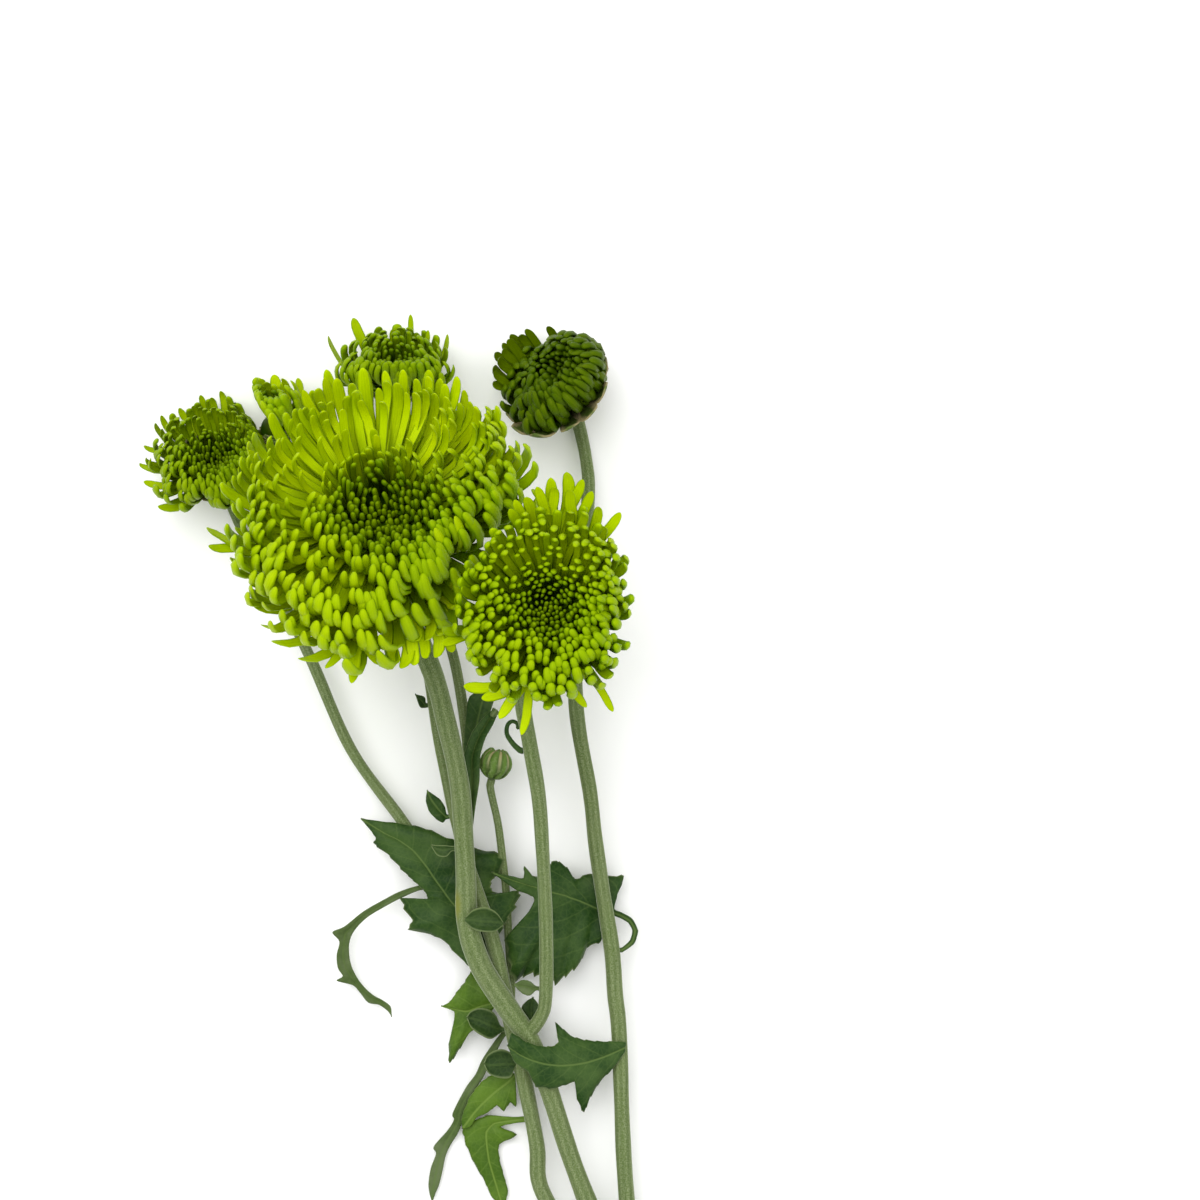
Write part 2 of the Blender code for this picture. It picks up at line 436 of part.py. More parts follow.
def tube(name, route, roundness, collection):
    """A round tapered tube through (x, y, z, radius) points, with closed ends."""
    curve = bpy.data.curves.new(name, "CURVE")
    curve.dimensions = "3D"
    curve.bevel_depth = MM
    curve.bevel_resolution = roundness
    curve.use_fill_caps = True
    spline = curve.splines.new("POLY")
    spline.points.add(len(route) - 1)
    for point, (x, y, z, radius) in zip(spline.points, route):
        point.co = (x * MM, y * MM, z * MM, 1.0)
        point.radius = radius
    return link(name, curve, collection)


def spread_share(shares):
    """How far out each tip stands, as a share of the head's radius, so that widening florets pack evenly."""
    table = np.linspace(0.0, 1.0, 200)
    growth = 1 + WIDTH_GAIN * table
    packed = np.log(growth) + 1 / growth - 1
    return np.interp(shares, packed / packed[-1], table)


def crest_height(head, share):
    """Height of the floret tips over the head's centre: a hollow middle, a crest and a falling rim."""
    if share < CREST_SHARE:
        rise = math.sin(math.pi / 2 * share / CREST_SHARE)
        return head["crown"] * (head["hollow"] + (1 - head["hollow"]) * rise)
    return head["crown"] * math.cos(math.pi / 2 * (share - CREST_SHARE) / (1 - CREST_SHARE))


def heading(turn, lean):
    """A direction in a head's frame: the turn round its axis and the lean from it, in radians."""
    return np.array((math.sin(lean) * math.cos(turn), math.sin(lean) * math.sin(turn), math.cos(lean)))


def floret_roots(head, turn, share):
    """Where a floret leaves the receptacle's dome, a little inside it."""
    reach = ROOT_SPREAD * math.sqrt(share)
    height = head["depth"] * (math.sqrt(1 - reach**2) - 1) - ROOT_SINK
    return np.array((
        reach * head["core"] * math.cos(turn), reach * head["core"] * math.sin(turn), height))


def floret_rule(head, strays):
    """Every floret of a head: turn, root share, tip radius, tip height, tip lean and width."""
    draw = random.Random(head["seed"])
    shares = (np.arange(head["florets"]) + 0.5) / head["florets"]
    florets = []
    for index, (share, out) in enumerate(zip(shares, spread_share(shares))):
        turn = index * GOLDEN_ANGLE + draw.uniform(-TURN_SPREAD, TURN_SPREAD)
        lean = HEART_LEAN + (head["tip_angle"] - HEART_LEAN) * out**2
        lean += draw.uniform(-LEAN_SPREAD, LEAN_SPREAD)
        width = head["width"] * (1 + WIDTH_GAIN * out) / (1 + WIDTH_GAIN)
        florets.append((
            turn, share, out * head["radius"] * draw.uniform(*REACH_SPREAD),
            crest_height(head, out) + draw.uniform(*CREST_SPREAD) * head["radius"],
            math.radians(lean), width))
    for side, reach, height, angle in strays:
        florets.append((
            math.radians(side), 1.0, reach * head["radius"], height, math.radians(angle), head["width"]))
    return florets


def floret_path(head, floret, steps):
    """Points along a floret's middle line in the head's frame, and the lean halfway along it."""
    turn, share, radius, height, lean, _ = floret
    root = floret_roots(head, turn, share)
    tip = np.array((radius * math.cos(turn), radius * math.sin(turn), height))
    length = np.linalg.norm(tip - root)
    root_lean = math.radians(head["root_angle"]) * share**OPENING
    handles = (
        root, root + heading(turn, root_lean) * ROOT_HANDLE * length,
        tip - heading(turn, lean) * TIP_HANDLE * length, tip)
    t = np.linspace(0.0, 1.0, steps)[:, None]
    weights = ((1 - t)**3, 3 * t * (1 - t)**2, 3 * t**2 * (1 - t), t**3)
    return sum(w * h for w, h in zip(weights, handles)), (root_lean + lean) / 2


def border(name, other):
    """A point and a direction of the plane that parts two heads; the direction leads out of the first one."""
    if (name, other) in BORDERS:
        point, toward = BORDERS[name, other]
        return np.array(point), unit(toward)
    if (other, name) in BORDERS:
        point, toward = BORDERS[other, name]
        return np.array(point), -unit(toward)
    own = PRESSED_RADIUS.get((name, other), HEADS[name]["radius"])
    theirs = PRESSED_RADIUS.get((other, name), HEADS[other]["radius"])
    between = np.subtract(HEADS[other]["centre"], HEADS[name]["centre"])
    distance = np.linalg.norm(between)
    share = (distance**2 + own**2 - theirs**2) / (2 * distance**2)
    return HEADS[name]["centre"] + between * share, between / distance


def give_way(name, points, half_width):
    """Bends world points of one head back from its neighbours, so that no head reaches into another."""
    for other in HEADS:
        if other == name:
            continue
        origin, toward = border(name, other)
        past = (points - origin) @ toward
        room = half_width + NEIGHBOUR_GAP
        near = past + room > -CROWDING_DEPTH
        pressed = -room - CROWDING_DEPTH * np.exp(-(past + room + CROWDING_DEPTH) / CROWDING_DEPTH)
        points = points + np.where(near, pressed - past, 0.0)[:, None] * toward
    return points


def floret_profile(collection):
    """The cross-section of a floret, one millimetre wide: flat inside and keeled outside."""
    curve = bpy.data.curves.new("floret_profile", "CURVE")
    curve.dimensions = "2D"
    spline = curve.splines.new("POLY")
    spline.points.add(2)
    for point, (x, y) in zip(spline.points, ((-0.5, 0.0), (0.5, 0.0), (0.0, -FLORET_THICKNESS))):
        point.co = (x * MM, y * MM, 0.0, 1.0)
    spline.use_cyclic_u = True
    return link("floret_profile", curve, collection)


def add_floret(name, floret, profile, collection):
    """One floret as a tapering curve, turned so that its flat side faces the head's axis."""
    head = HEADS[name]
    frame = head_frame(head)
    steps = FLORET_STEPS if head["radius"] > 20 else FLORET_STEPS - 1
    path, lean = floret_path(head, floret, steps)
    world = give_way(name, path @ frame + head["centre"], floret[5] / 2)
    along = heading(floret[0], lean) @ frame
    inward = heading(floret[0], lean - math.pi / 2) @ frame
    turned_axes = np.array((along, np.cross(inward, along), inward)).T
    place = Matrix([(*row, origin * MM) for row, origin in zip(turned_axes, world[0])] + [(0, 0, 0, 1)])
    curve = bpy.data.curves.new("floret", "CURVE")
    curve.dimensions = "3D"
    curve.twist_mode = "Z_UP"
    curve.bevel_mode = "OBJECT"
    curve.bevel_object = profile
    curve.use_fill_caps = True
    spline = curve.splines.new("POLY")
    spline.points.add(steps - 1)
    widths = np.interp(np.linspace(0, 1, steps), FLORET_TAPER_AT, FLORET_TAPER)
    back = place.inverted()
    for point, spot, share in zip(spline.points, world, widths):
        point.co = (*(back @ Vector(spot * MM)), 1.0)
        point.radius = share * floret[5]
    obj = link("floret", curve, collection)
    obj.matrix_world = place
    return obj


def turned(name, outline, steps, collection):
    """A solid of revolution round Z from (radius, height) points that run from the top to the bottom."""
    mesh = bpy.data.meshes.new(name)
    mesh.from_pydata(
        [(radius * MM, 0.0, height * MM) for radius, height in outline],
        [(k, k + 1) for k in range(len(outline) - 1)], [])
    obj = link(name, mesh, collection)
    screw = obj.modifiers.new("turn", "SCREW")
    screw.axis = "Z"
    screw.steps = steps
    screw.render_steps = steps
    screw.use_merge_vertices = True
    screw.merge_threshold = 0.00001
    bpy.context.view_layer.update()
    depsgraph = bpy.context.evaluated_depsgraph_get()
    obj.data = bpy.data.meshes.new_from_object(obj.evaluated_get(depsgraph))
    obj.modifiers.clear()
    clean_mesh(obj.data)
    return obj


def place_on_axis(obj, head, height):
    """Stands a turned piece on a head's axis, at a height from its centre."""
    frame = head_frame(head)
    origin = np.add(head["centre"], frame[2] * height)
    rows = [(*row, value * MM) for row, value in zip(frame.T, origin)]
    obj.matrix_world = Matrix(rows + [(0, 0, 0, 1)])


def build_bloom(name, profile, spray, work):
    """A head: its receptacle with all of its florets, grown together."""
    head = HEADS[name]
    lean = np.linspace(0, math.pi / 2, 6)
    dome = [(head["core"] * math.sin(a), head["depth"] * (math.cos(a) - 1)) for a in lean]
    core = turned(name, dome + [(0.0, -head["depth"])], CORE_SIDES, spray)
    place_on_axis(core, head, 0.0)
    curves = [add_floret(name, floret, profile, work) for floret in floret_rule(head, STRAYS[name])]
    repeats = bpy.data.collections.new(name + "_florets")
    bpy.context.scene.collection.children.link(repeats)
    for curve in curves:
        as_mesh(curve, repeats)
        bpy.data.objects.remove(curve)
    fuse(core, repeats)
    bpy.data.collections.remove(repeats)
    return core


def build_calyx(name, spray):
    """The green cup under a head, with its bracts in relief."""
    head = HEADS[name]
    rows = head["rows"]
    outline = [(0.0, 0.0)]
    for row in range(rows + 1):
        down = row / rows
        radius = CALYX_TOP * head["core"] * (1 - down**CALYX_BELLY) + head["neck"] * down**CALYX_BELLY
        outline.append((radius, -head["calyx"] * down))
    outline.append((0.0, -head["calyx"]))
    cup = turned(name.replace("bloom", "calyx"), outline, CALYX_SIDES, spray)
    for vertex in cup.data.vertices:
        turn = math.atan2(vertex.co.y, vertex.co.x)
        row = round(-vertex.co.z / MM / head["calyx"] * rows)
        if 0 < row < rows:
            vertex.co.xy *= 1 + BRACT_RELIEF * math.cos(turn * CALYX_SIDES / 2 + math.pi * row)
    place_on_axis(cup, head, -head["depth"] - GAP)
    return cup


def build_bud(spray):
    """The closed bud: a ribbed ball with a dimple on top."""
    mesh = bpy.data.meshes.new("bud")
    work = bmesh.new()
    bmesh.ops.create_uvsphere(work, u_segments=2 * BUD_RIBS, v_segments=BUD_RINGS, radius=BUD_RADIUS * MM)
    for vertex in work.verts:
        turn = math.atan2(vertex.co.y, vertex.co.x)
        upright = vertex.co.z / (BUD_RADIUS * MM)
        vertex.co.xy *= 1 + BUD_RIB_DEPTH * math.cos(turn * BUD_RIBS) * (1 - upright**2)
        vertex.co.z -= BUD_DIMPLE * MM * max(0.0, upright)**8
    work.to_mesh(mesh)
    work.free()
    bud = link("bud", mesh, spray)
    place_on_axis(bud, dict(centre=BUD_CENTRE, axis=BUD_AXIS), 0.0)
    return bud


def stem_route(name):
    """A stem's route in full, with the neck that meets its head squarely."""
    stem = STEMS[name]
    route = list(stem["route"])
    if stem["head"]:
        head = HEADS[stem["head"]]
        centre, axis = head["centre"], unit(head["axis"])
        down = head["depth"] + head["calyx"] + 2 * GAP
    else:
        centre, axis, down = BUD_CENTRE, unit(BUD_AXIS), BUD_RADIUS + GAP
    radius = route[-1][3]
    for extra in (NECK_LENGTH * radius, 0.0):
        route.append((*np.subtract(centre, axis * (down + extra)), radius))
    return smooth_route(route, STEM_SPACING)


def build_stem(spray, work):
    """The stem with all of its side shoots and its slanting cut."""
    tubes = bpy.data.collections.new("shoots")
    bpy.context.scene.collection.children.link(tubes)
    solids = []
    for name in STEMS:
        curve = tube(name, stem_route(name), STEM_ROUNDNESS, work)
        solids.append(as_mesh(curve, tubes))
        bpy.data.objects.remove(curve)
    stem = solids[0]
    stem.name = "stem"
    tubes.objects.unlink(stem)
    spray.objects.link(stem)
    cut = bmesh.new()
    cut.from_mesh(stem.data)
    bmesh.ops.bisect_plane(
        cut, geom=cut.verts[:] + cut.edges[:] + cut.faces[:], plane_co=Vector(FOOT_CUT_POINT) * MM,
        plane_no=FOOT_CUT_NORMAL, clear_outer=True)
    bmesh.ops.holes_fill(cut, edges=[edge for edge in cut.edges if edge.is_boundary])
    cut.to_mesh(stem.data)
    cut.free()
    fuse(stem, tubes)
    bpy.data.collections.remove(tubes)
    return stem


def seat(mesh, root, tree):
    """Draws a stalk's root up to the stem, leaving only the gap between two pieces."""
    for _ in range(SEATING_STEPS):
        gaps = []
        for index in root:
            spot, normal, _, _ = tree.find_nearest(mesh.vertices[index].co)
            gaps.append(((mesh.vertices[index].co - spot).dot(normal), normal))
        least, normal = min(gaps, key=lambda gap: gap[0])
        for index in root:
            mesh.vertices[index].co += normal * (GAP * MM - least)


def build_leaf(name, tree, spray):
    """A leaf blade from its rows, given its thickness and seated on the stem."""
    leaf = LEAVES[name]
    points = []
    for (x, y, z), left, right in leaf["rows"]:
        edges = [
            (*edge, z + fold * math.hypot(edge[0] - x, edge[1] - y))
            for edge, fold in zip((left, right), leaf["folds"])]
        points += [edges[0], (x, y, z), edges[1]]
    tip = len(points)
    points.append(leaf["tip"])
    faces = []
    for row in range(0, tip - 3, 3):
        faces += [(row + k, row + k + 1, row + k + 4, row + k + 3) for k in (0, 1)]
    faces += [(tip - 3, tip - 2, tip), (tip - 2, tip - 1, tip)]
    mesh = bpy.data.meshes.new(name)
    mesh.from_pydata([tuple(value * MM for value in point) for point in points], [], faces)
    split = bmesh.new()
    split.from_mesh(mesh)
    bmesh.ops.triangulate(split, faces=split.faces, quad_method="SHORT_EDGE")
    split.to_mesh(mesh)
    split.free()
    obj = link(name, mesh, spray)
    thicken = obj.modifiers.new("thickness", "SOLIDIFY")
    thicken.thickness = LEAF_THICKNESS * MM
    thicken.offset = 0.0
    bpy.context.view_layer.update()
    depsgraph = bpy.context.evaluated_depsgraph_get()
    obj.data = bpy.data.meshes.new_from_object(obj.evaluated_get(depsgraph))
    obj.modifiers.clear()
    seat(obj.data, (0, 1, 2, tip + 1, tip + 2, tip + 3), tree)
    clean_mesh(obj.data)
    return obj


def build_tendril(tree, spray, work):
    """The thin curled bract high on the front stem."""
    spot, normal, _, _ = tree.find_nearest(Vector(TENDRIL[0]) * MM)
    start = [tuple((spot / MM + normal * distance)) for distance in (GAP, GAP + TENDRIL_RADIUS)]
    route = np.array(start + list(TENDRIL[1:]))
    radii = TENDRIL_RADIUS * np.linspace(1.0, 0.7, len(route))
    curve = tube("tendril", smooth_route(np.column_stack((route, radii)), TENDRIL_SPACING), 1, work)
    solid = as_mesh(curve, spray)
    bpy.data.objects.remove(curve)
    solid.name = "tendril"
    return solid


def main():
    """Builds the spray piece by piece."""
    for obj in list(bpy.data.objects):
        bpy.data.objects.remove(obj)
    spray = bpy.data.collections.new(SPRAY)
    work = bpy.data.collections.new("working_curves")
    for collection in (spray, work):
        bpy.context.scene.collection.children.link(collection)
    materials = {name: make_material(name, *finish) for name, finish in FINISHES.items()}
    pieces = []

    profile = floret_profile(work)
    for name in HEADS:
        slot = "young_floret" if name in YOUNG_HEADS else "floret"
        pieces.append((build_bloom(name, profile, spray, work), slot))
        pieces.append((build_calyx(name, spray), "calyx"))
    bpy.data.objects.remove(profile)

    stem = build_stem(spray, work)
    pieces.append((stem, "stem"))
    pieces.append((build_bud(spray), "bud"))
    tree = BVHTree.FromPolygons(
        [stem.matrix_world @ vertex.co for vertex in stem.data.vertices],
        [tuple(face.vertices) for face in stem.data.polygons])
    for name in LEAVES:
        pieces.append((build_leaf(name, tree, spray), "leaf"))
    pieces.append((build_tendril(tree, spray, work), "leaf"))
    bpy.data.collections.remove(work)

    centre = bpy.data.objects.new(SPRAY + "_centre", None)
    spray.objects.link(centre)
    centre.location = (-PLAN_CENTRE[0] * MM, -PLAN_CENTRE[1] * MM, 0.0)
    for piece, slot in pieces:
        piece.parent = centre
        piece.data.materials.clear()
        finish = materials[slot].copy()
        finish.name = piece.name + "_" + slot
        piece.data.materials.append(finish)
        print(piece.name, len(piece.data.polygons))


main()
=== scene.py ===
"""The look of one cut spray of a lime green chrysanthemum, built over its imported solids.

Places and sizes are in millimetres in the spray's own layout, and become metres in the frame of the solids when
a mesh is made.
"""

import logging
import math
from collections.abc import Callable
from dataclasses import astuple, dataclass
from enum import Enum
from itertools import combinations

import bpy
import numpy as np
from mathutils.bvhtree import BVHTree
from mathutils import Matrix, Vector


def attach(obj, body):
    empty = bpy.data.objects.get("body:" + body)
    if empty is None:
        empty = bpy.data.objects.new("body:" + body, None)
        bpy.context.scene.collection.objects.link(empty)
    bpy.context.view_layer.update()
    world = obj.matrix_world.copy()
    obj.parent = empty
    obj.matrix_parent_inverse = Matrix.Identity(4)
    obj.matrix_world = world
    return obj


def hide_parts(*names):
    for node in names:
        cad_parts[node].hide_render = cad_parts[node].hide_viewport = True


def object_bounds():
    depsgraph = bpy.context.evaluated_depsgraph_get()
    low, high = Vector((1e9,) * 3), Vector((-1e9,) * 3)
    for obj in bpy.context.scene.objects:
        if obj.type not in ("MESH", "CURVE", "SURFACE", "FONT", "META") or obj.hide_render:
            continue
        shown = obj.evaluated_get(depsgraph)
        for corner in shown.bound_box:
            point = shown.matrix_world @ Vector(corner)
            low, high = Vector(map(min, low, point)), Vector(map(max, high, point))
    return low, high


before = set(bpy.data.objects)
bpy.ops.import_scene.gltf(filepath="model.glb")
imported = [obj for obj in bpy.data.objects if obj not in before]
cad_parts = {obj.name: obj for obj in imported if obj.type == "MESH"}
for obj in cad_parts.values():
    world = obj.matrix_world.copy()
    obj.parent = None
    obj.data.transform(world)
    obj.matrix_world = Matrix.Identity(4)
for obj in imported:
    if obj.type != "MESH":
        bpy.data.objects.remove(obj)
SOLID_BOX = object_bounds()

MM = 0.001
PLAN_CENTRE = np.array((-48.6, -75.0, 0.0))
BOX_LOW, BOX_HIGH = (np.array(corner) / MM + PLAN_CENTRE for corner in SOLID_BOX)
BOX_MARGIN = 0.02
GOLDEN_ANGLE = math.pi * (3 - math.sqrt(5))
GAP = 0.3
RISE = np.array((0.0, 0.0, 1.0))
log = logging.getLogger("spray")

Point = tuple[float, float, float]
Colour = tuple[float, float, float]
Profile = tuple[tuple[float, float], ...]
Faces = list[tuple[int, ...]]
Part = tuple[np.ndarray, Faces, np.ndarray]


# ---------------------------------------------------------------- shader expressions
class Signal:
    """A shader socket that can be used in Python expressions."""

    def __init__(self, graph: "Graph", socket: bpy.types.NodeSocket) -> None:
        """Keeps the graph and the socket."""
        self.graph = graph
        self.socket = socket

    def _math(self, operation: str, first: "Signal | float", second: "Signal | float" = 0.0) -> "Signal":
        """One Math node."""
        return self.graph.node("ShaderNodeMath", {"operation": operation}, {0: first, 1: second})

    def __add__(self, other: "Signal | float") -> "Signal":
        """self + other."""
        return self._math("ADD", self, other)

    __radd__ = __add__

    def __sub__(self, other: "Signal | float") -> "Signal":
        """self - other."""
        return self._math("SUBTRACT", self, other)

    def __rsub__(self, other: float) -> "Signal":
        """other - self."""
        return self._math("SUBTRACT", other, self)

    def __mul__(self, other: "Signal | float") -> "Signal":
        """self * other."""
        return self._math("MULTIPLY", self, other)

    __rmul__ = __mul__

    def __truediv__(self, other: "Signal | float") -> "Signal":
        """self / other."""
        return self._math("DIVIDE", self, other)

    def __abs__(self) -> "Signal":
        """The size of self without its sign."""
        return self._math("ABSOLUTE", self)

    def wave(self) -> "Signal":
        """The sine of self."""
        return self._math("SINE", self)

    def fraction(self) -> "Signal":
        """The fractional part of self."""
        return self._math("FRACT", self)

    def larger(self, other: "Signal") -> "Signal":
        """The larger of self and other."""
        return self._math("MAXIMUM", self, other)

    def between(self, low: float, high: float) -> "Signal":
        """Self rescaled so that low gives 0 and high gives 1, smoothly and held to that range."""
        return self.graph.node(
            "ShaderNodeMapRange", {"interpolation_type": "SMOOTHSTEP"}, {0: self, 1: low, 2: high, 3: 0.0, 4: 1.0})


class Graph:
    """The node tree of one material."""

    def __init__(self, name: str) -> None:
        """Starts an empty material.

        Args:
            name: The material's name.
        """
        self.material = bpy.data.materials.new(name)
        self.material.use_nodes = True
        self.tree = self.material.node_tree
        self.tree.nodes.clear()

    def node(
        self, kind: str, settings: dict[str, object] | None = None,
        sockets: dict[str | int, object] | None = None, output: str | int = 0,
    ) -> Signal:
        """Adds any node.

        Args:
            kind: The node's type.
            settings: Its properties, and a ramp's stops under "stops".
            sockets: Values or signals for its input sockets, by name or place.
            output: The output socket wanted.

        Returns:
            That output as a signal.
        """
        node = self.tree.nodes.new(kind)
        for key, value in (settings or {}).items():
            if key == "stops":
                while len(node.color_ramp.elements) < len(value):
                    node.color_ramp.elements.new(0.5)
                for element, (place, colour) in zip(node.color_ramp.elements, value):
                    element.position = place
                    element.color = (*colour, 1.0)
            else:
                setattr(node, key, value)
        for key, value in (sockets or {}).items():
            if isinstance(value, Signal):
                self.tree.links.new(value.socket, node.inputs[key])
            else:
                node.inputs[key].default_value = value
        return Signal(self, node.outputs[output])

    def place(self, scale: Point = (1.0, 1.0, 1.0)) -> Signal:
        """Object coordinates in metres, stretched by a scale."""
        spot = self.node("ShaderNodeTexCoord", output="Object")
        return self.node("ShaderNodeMapping", {}, {"Vector": spot, "Scale": scale})

    def grain(self, scale: float, detail: float = 3.0, stretch: Point = (1.0, 1.0, 1.0)) -> Signal:
        """Noise from 0 to 1."""
        sockets = {"Vector": self.place(stretch), "Scale": scale, "Detail": detail, "Roughness": 0.6}
        return self.node("ShaderNodeTexNoise", {}, sockets)

    def stored(self, name: str) -> tuple[Signal, Signal, Signal, Signal]:
        """The four channels of a colour attribute.

        Args:
            name: The attribute's name.

        Returns:
            Its red, green, blue and alpha.
        """
        colour = self.node("ShaderNodeAttribute", {"attribute_name": name}, output="Color")
        red = self.node("ShaderNodeSeparateColor", {}, {0: colour})
        green, blue = (Signal(self, socket) for socket in red.socket.node.outputs[1:3])
        return red, green, blue, Signal(self, colour.socket.node.outputs["Alpha"])

    def ramp(self, factor: Signal, *stops: tuple[float, Colour]) -> Signal:
        """A colour ramp."""
        return self.node("ShaderNodeValToRGB", {"stops": stops}, {0: factor})

    def mix(self, factor: Signal | float, first: Signal | Colour, second: Signal | Colour, mode: str = "MIX") -> Signal:
        """Mixes two colours.

        Args:
            factor: How much of the second.
            first: The colour at 0.
            second: The colour at 1.
            mode: The blend mode.

        Returns:
            The mixed colour.
        """
        ends = [value if isinstance(value, Signal) else (*value, 1.0) for value in (first, second)]
        return self.node(
            "ShaderNodeMix", {"data_type": "RGBA", "blend_type": mode}, {0: factor, 6: ends[0], 7: ends[1]}, 2)

    def tinted(self, colour: Signal, tint: Colour) -> Signal:
        """A colour multiplied by a tint."""
        return self.mix(1.0, colour, tint, "MULTIPLY")

    def bump(self, height: Signal, depth: float, strength: float) -> Signal:
        """A normal bent by a height of the given depth in millimetres."""
        return self.node("ShaderNodeBump", {}, {"Height": height, "Distance": depth * MM, "Strength": strength})

    def surface(self, **sockets: object) -> bpy.types.Material:
        """Ends the tree in a Principled shader.

        Args:
            **sockets: Its inputs, with underscores for spaces.

        Returns:
            The finished material.
        """
        named = {key.replace("_", " "): value for key, value in sockets.items()}
        shader = self.node("ShaderNodeBsdfPrincipled", {}, named)
        ending = self.tree.nodes.new("ShaderNodeOutputMaterial")
        self.tree.links.new(shader.socket, ending.inputs["Surface"])
        return self.material


# ---------------------------------------------------------------- finishes
@dataclass(frozen=True)
class FloretFinish:
    """Glossy, finely striped ray florets: dark in the heart of the head, partly their own green and partly painted
    shade, and lime at the tips.
    """

    name: str
    # The heart colour is partly the florets' own deep green and partly painted shade.
    heart: Colour = (0.013, 0.040, 0.0)
    flesh: Colour = (0.085, 0.18, 0.0)
    lime: Colour = (0.205, 0.352, 0.0)
    tip: Colour = (0.315, 0.482, 0.001)
    # The glow is a painted back-light glow for open florets.
    glow: Colour = (0.48, 0.65, 0.0)
    back: Colour = (0.225, 0.34, 0.0)
    edge: Colour = (0.52, 0.62, 0.12)
    warmth: Colour = (1.25, 1.05, 0.6)
    # The shade tint is painted shade on the sides of each floret.
    shade: Colour = (0.52, 0.66, 0.3)
    stripe: Colour = (0.7, 0.8, 0.5)
    fleck: Colour = (1.3, 1.2, 1.0)
    sheen: Colour = (1.0, 1.0, 0.1)
    stripes: float = 30.0
    mottle_scale: float = 900.0
    roughness: float = 0.4

    def build(self) -> bpy.types.Material:
        """Builds the nodes; the attributes hold the place along and across, the draw, the side and how open it lies.

        Returns:
            The material.
        """
        graph = Graph(self.name)
        along, share, draw, inner = graph.stored("floret")
        across, bow, opened, _ = graph.stored("blade")
        # Painted shade: the ramp runs dark towards each floret's root and towards the middle of the head, partly the
        # florets' own deeper green there and partly painted shade in the hollow of the head.
        reach = along * 0.55 + share * 0.38 + draw * 0.07 + opened * (1 - along) * 0.3
        body = graph.ramp(
            reach, (0.0, self.heart), (0.3, tuple(0.45 * c for c in self.flesh)), (0.52, self.flesh),
            (0.78, self.lime), (1.0, self.tip))
        # Painted shade: the inner florets are pulled most of the way to the dark heart colour, partly their own younger
        # green and partly painted shade deep in the head.
        heart_shaded = graph.mix(share.between(0.05, 0.45), graph.mix(0.7, body, self.heart), body)
        # Painted light: open florets are brightened towards the glow colour, a painted back-light glow; the openness
        # term in the reach above lifts their lower parts in the same way.
        lit = graph.mix(opened * 0.9 * along.between(0.05, 0.6), heart_shaded, self.glow)
        warm = graph.mix(draw * 0.4, lit, graph.tinted(lit, self.warmth))
        backed = graph.mix((1 - inner) * 0.45 * along.between(0.2, 0.7), warm, self.back)
        # Painted shade: each floret is darkened with the shade tint towards its two sides, away from its middle line,
        # less on open ones.
        side_shade = (1 - bow).between(0.3, 1.0) * (1 - opened * 0.7) * 0.8
        side_shaded = graph.mix(side_shade, backed, graph.tinted(backed, self.shade))
        lines = (across * self.stripes).wave() * 0.5 + 0.5
        mottle = graph.grain(self.mottle_scale)
        striped = graph.mix(lines * (0.18 + opened * 0.14), side_shaded, graph.tinted(side_shaded, self.stripe))
        edged = graph.mix((1 - bow).between(0.85, 1.0) * opened * inner * 0.5, striped, self.edge)
        flecked = graph.mix(mottle.between(0.45, 0.75) * 0.25, edged, graph.tinted(edged, self.fleck))
        return graph.surface(
            Base_Color=flecked, Roughness=self.roughness + mottle * 0.12, Normal=graph.bump(lines, 0.05, 0.5),
            Specular_IOR_Level=0.26, Specular_Tint=(*self.sheen, 1.0))


@dataclass(frozen=True)
class StemFinish:
    """Grey-green ribbed stem under a fine pale down."""

    name: str = "stem_finish"
    groove: Colour = (0.072, 0.110, 0.028)
    ridge: Colour = (0.130, 0.175, 0.058)
    blotch: Colour = (0.78, 0.88, 0.62)
    down: Colour = (0.27, 0.315, 0.17)
    scar: Colour = (0.27, 0.28, 0.035)
    scar_pit: Colour = (0.07, 0.09, 0.01)
    pith: Colour = (0.56, 0.58, 0.38)
    wood: Colour = (0.30, 0.38, 0.14)
    bast: Colour = (0.44, 0.50, 0.24)
    fibre: Colour = (0.70, 0.70, 0.50)
    sheen: Colour = (0.85, 0.92, 0.72)
    cut_centre: Point = (0.0646, -0.146, 0.0033)

    def build(self) -> bpy.types.Material:
        """Builds the nodes; the attribute holds the ridge, the leaf scar, the cut end and the length.

        Returns:
            The material.
        """
        graph = Graph(self.name)
        ridge, scar, cut, _ = graph.stored("stem")
        fine = graph.grain(4300.0, 2.0, (1.0, 0.7, 1.0))
        streak = graph.grain(1900.0, 2.0, (1.0, 0.05, 1.0))
        broad = graph.grain(120.0, 2.0, (1.0, 0.3, 1.0))
        base = graph.mix(ridge * 0.45 + streak.between(0.3, 0.7) * 0.55, self.groove, self.ridge)
        blotched = graph.mix(broad.between(0.4, 0.65) * 0.5, base, graph.tinted(base, self.blotch))
        downy = graph.mix(fine.between(0.38, 0.68) * (0.28 + ridge * 0.5), blotched, self.down)
        scarred = graph.mix(scar.between(0.2, 0.8) * 0.85, downy, graph.mix(fine, self.scar, self.scar_pit))
        away = graph.node(
            "ShaderNodeVectorMath", {"operation": "DISTANCE"}, {0: graph.place(), 1: self.cut_centre}, "Value") / MM
        wood = graph.mix((away + fine * 0.4).between(1.2, 1.7), self.pith, self.wood)
        bast = graph.mix((away + fine * 0.3).between(2.5, 2.9), wood, self.bast)
        ended = graph.mix(cut, scarred, graph.mix(fine.between(0.4, 0.7) * 0.35, bast, self.fibre))
        return graph.surface(
            Base_Color=ended, Roughness=0.7, Normal=graph.bump(fine * 0.6 + streak * 0.4, 0.10, 0.6),
            Specular_IOR_Level=0.2, Sheen_Weight=0.7, Sheen_Roughness=0.3, Sheen_Tint=(*self.sheen, 1.0))


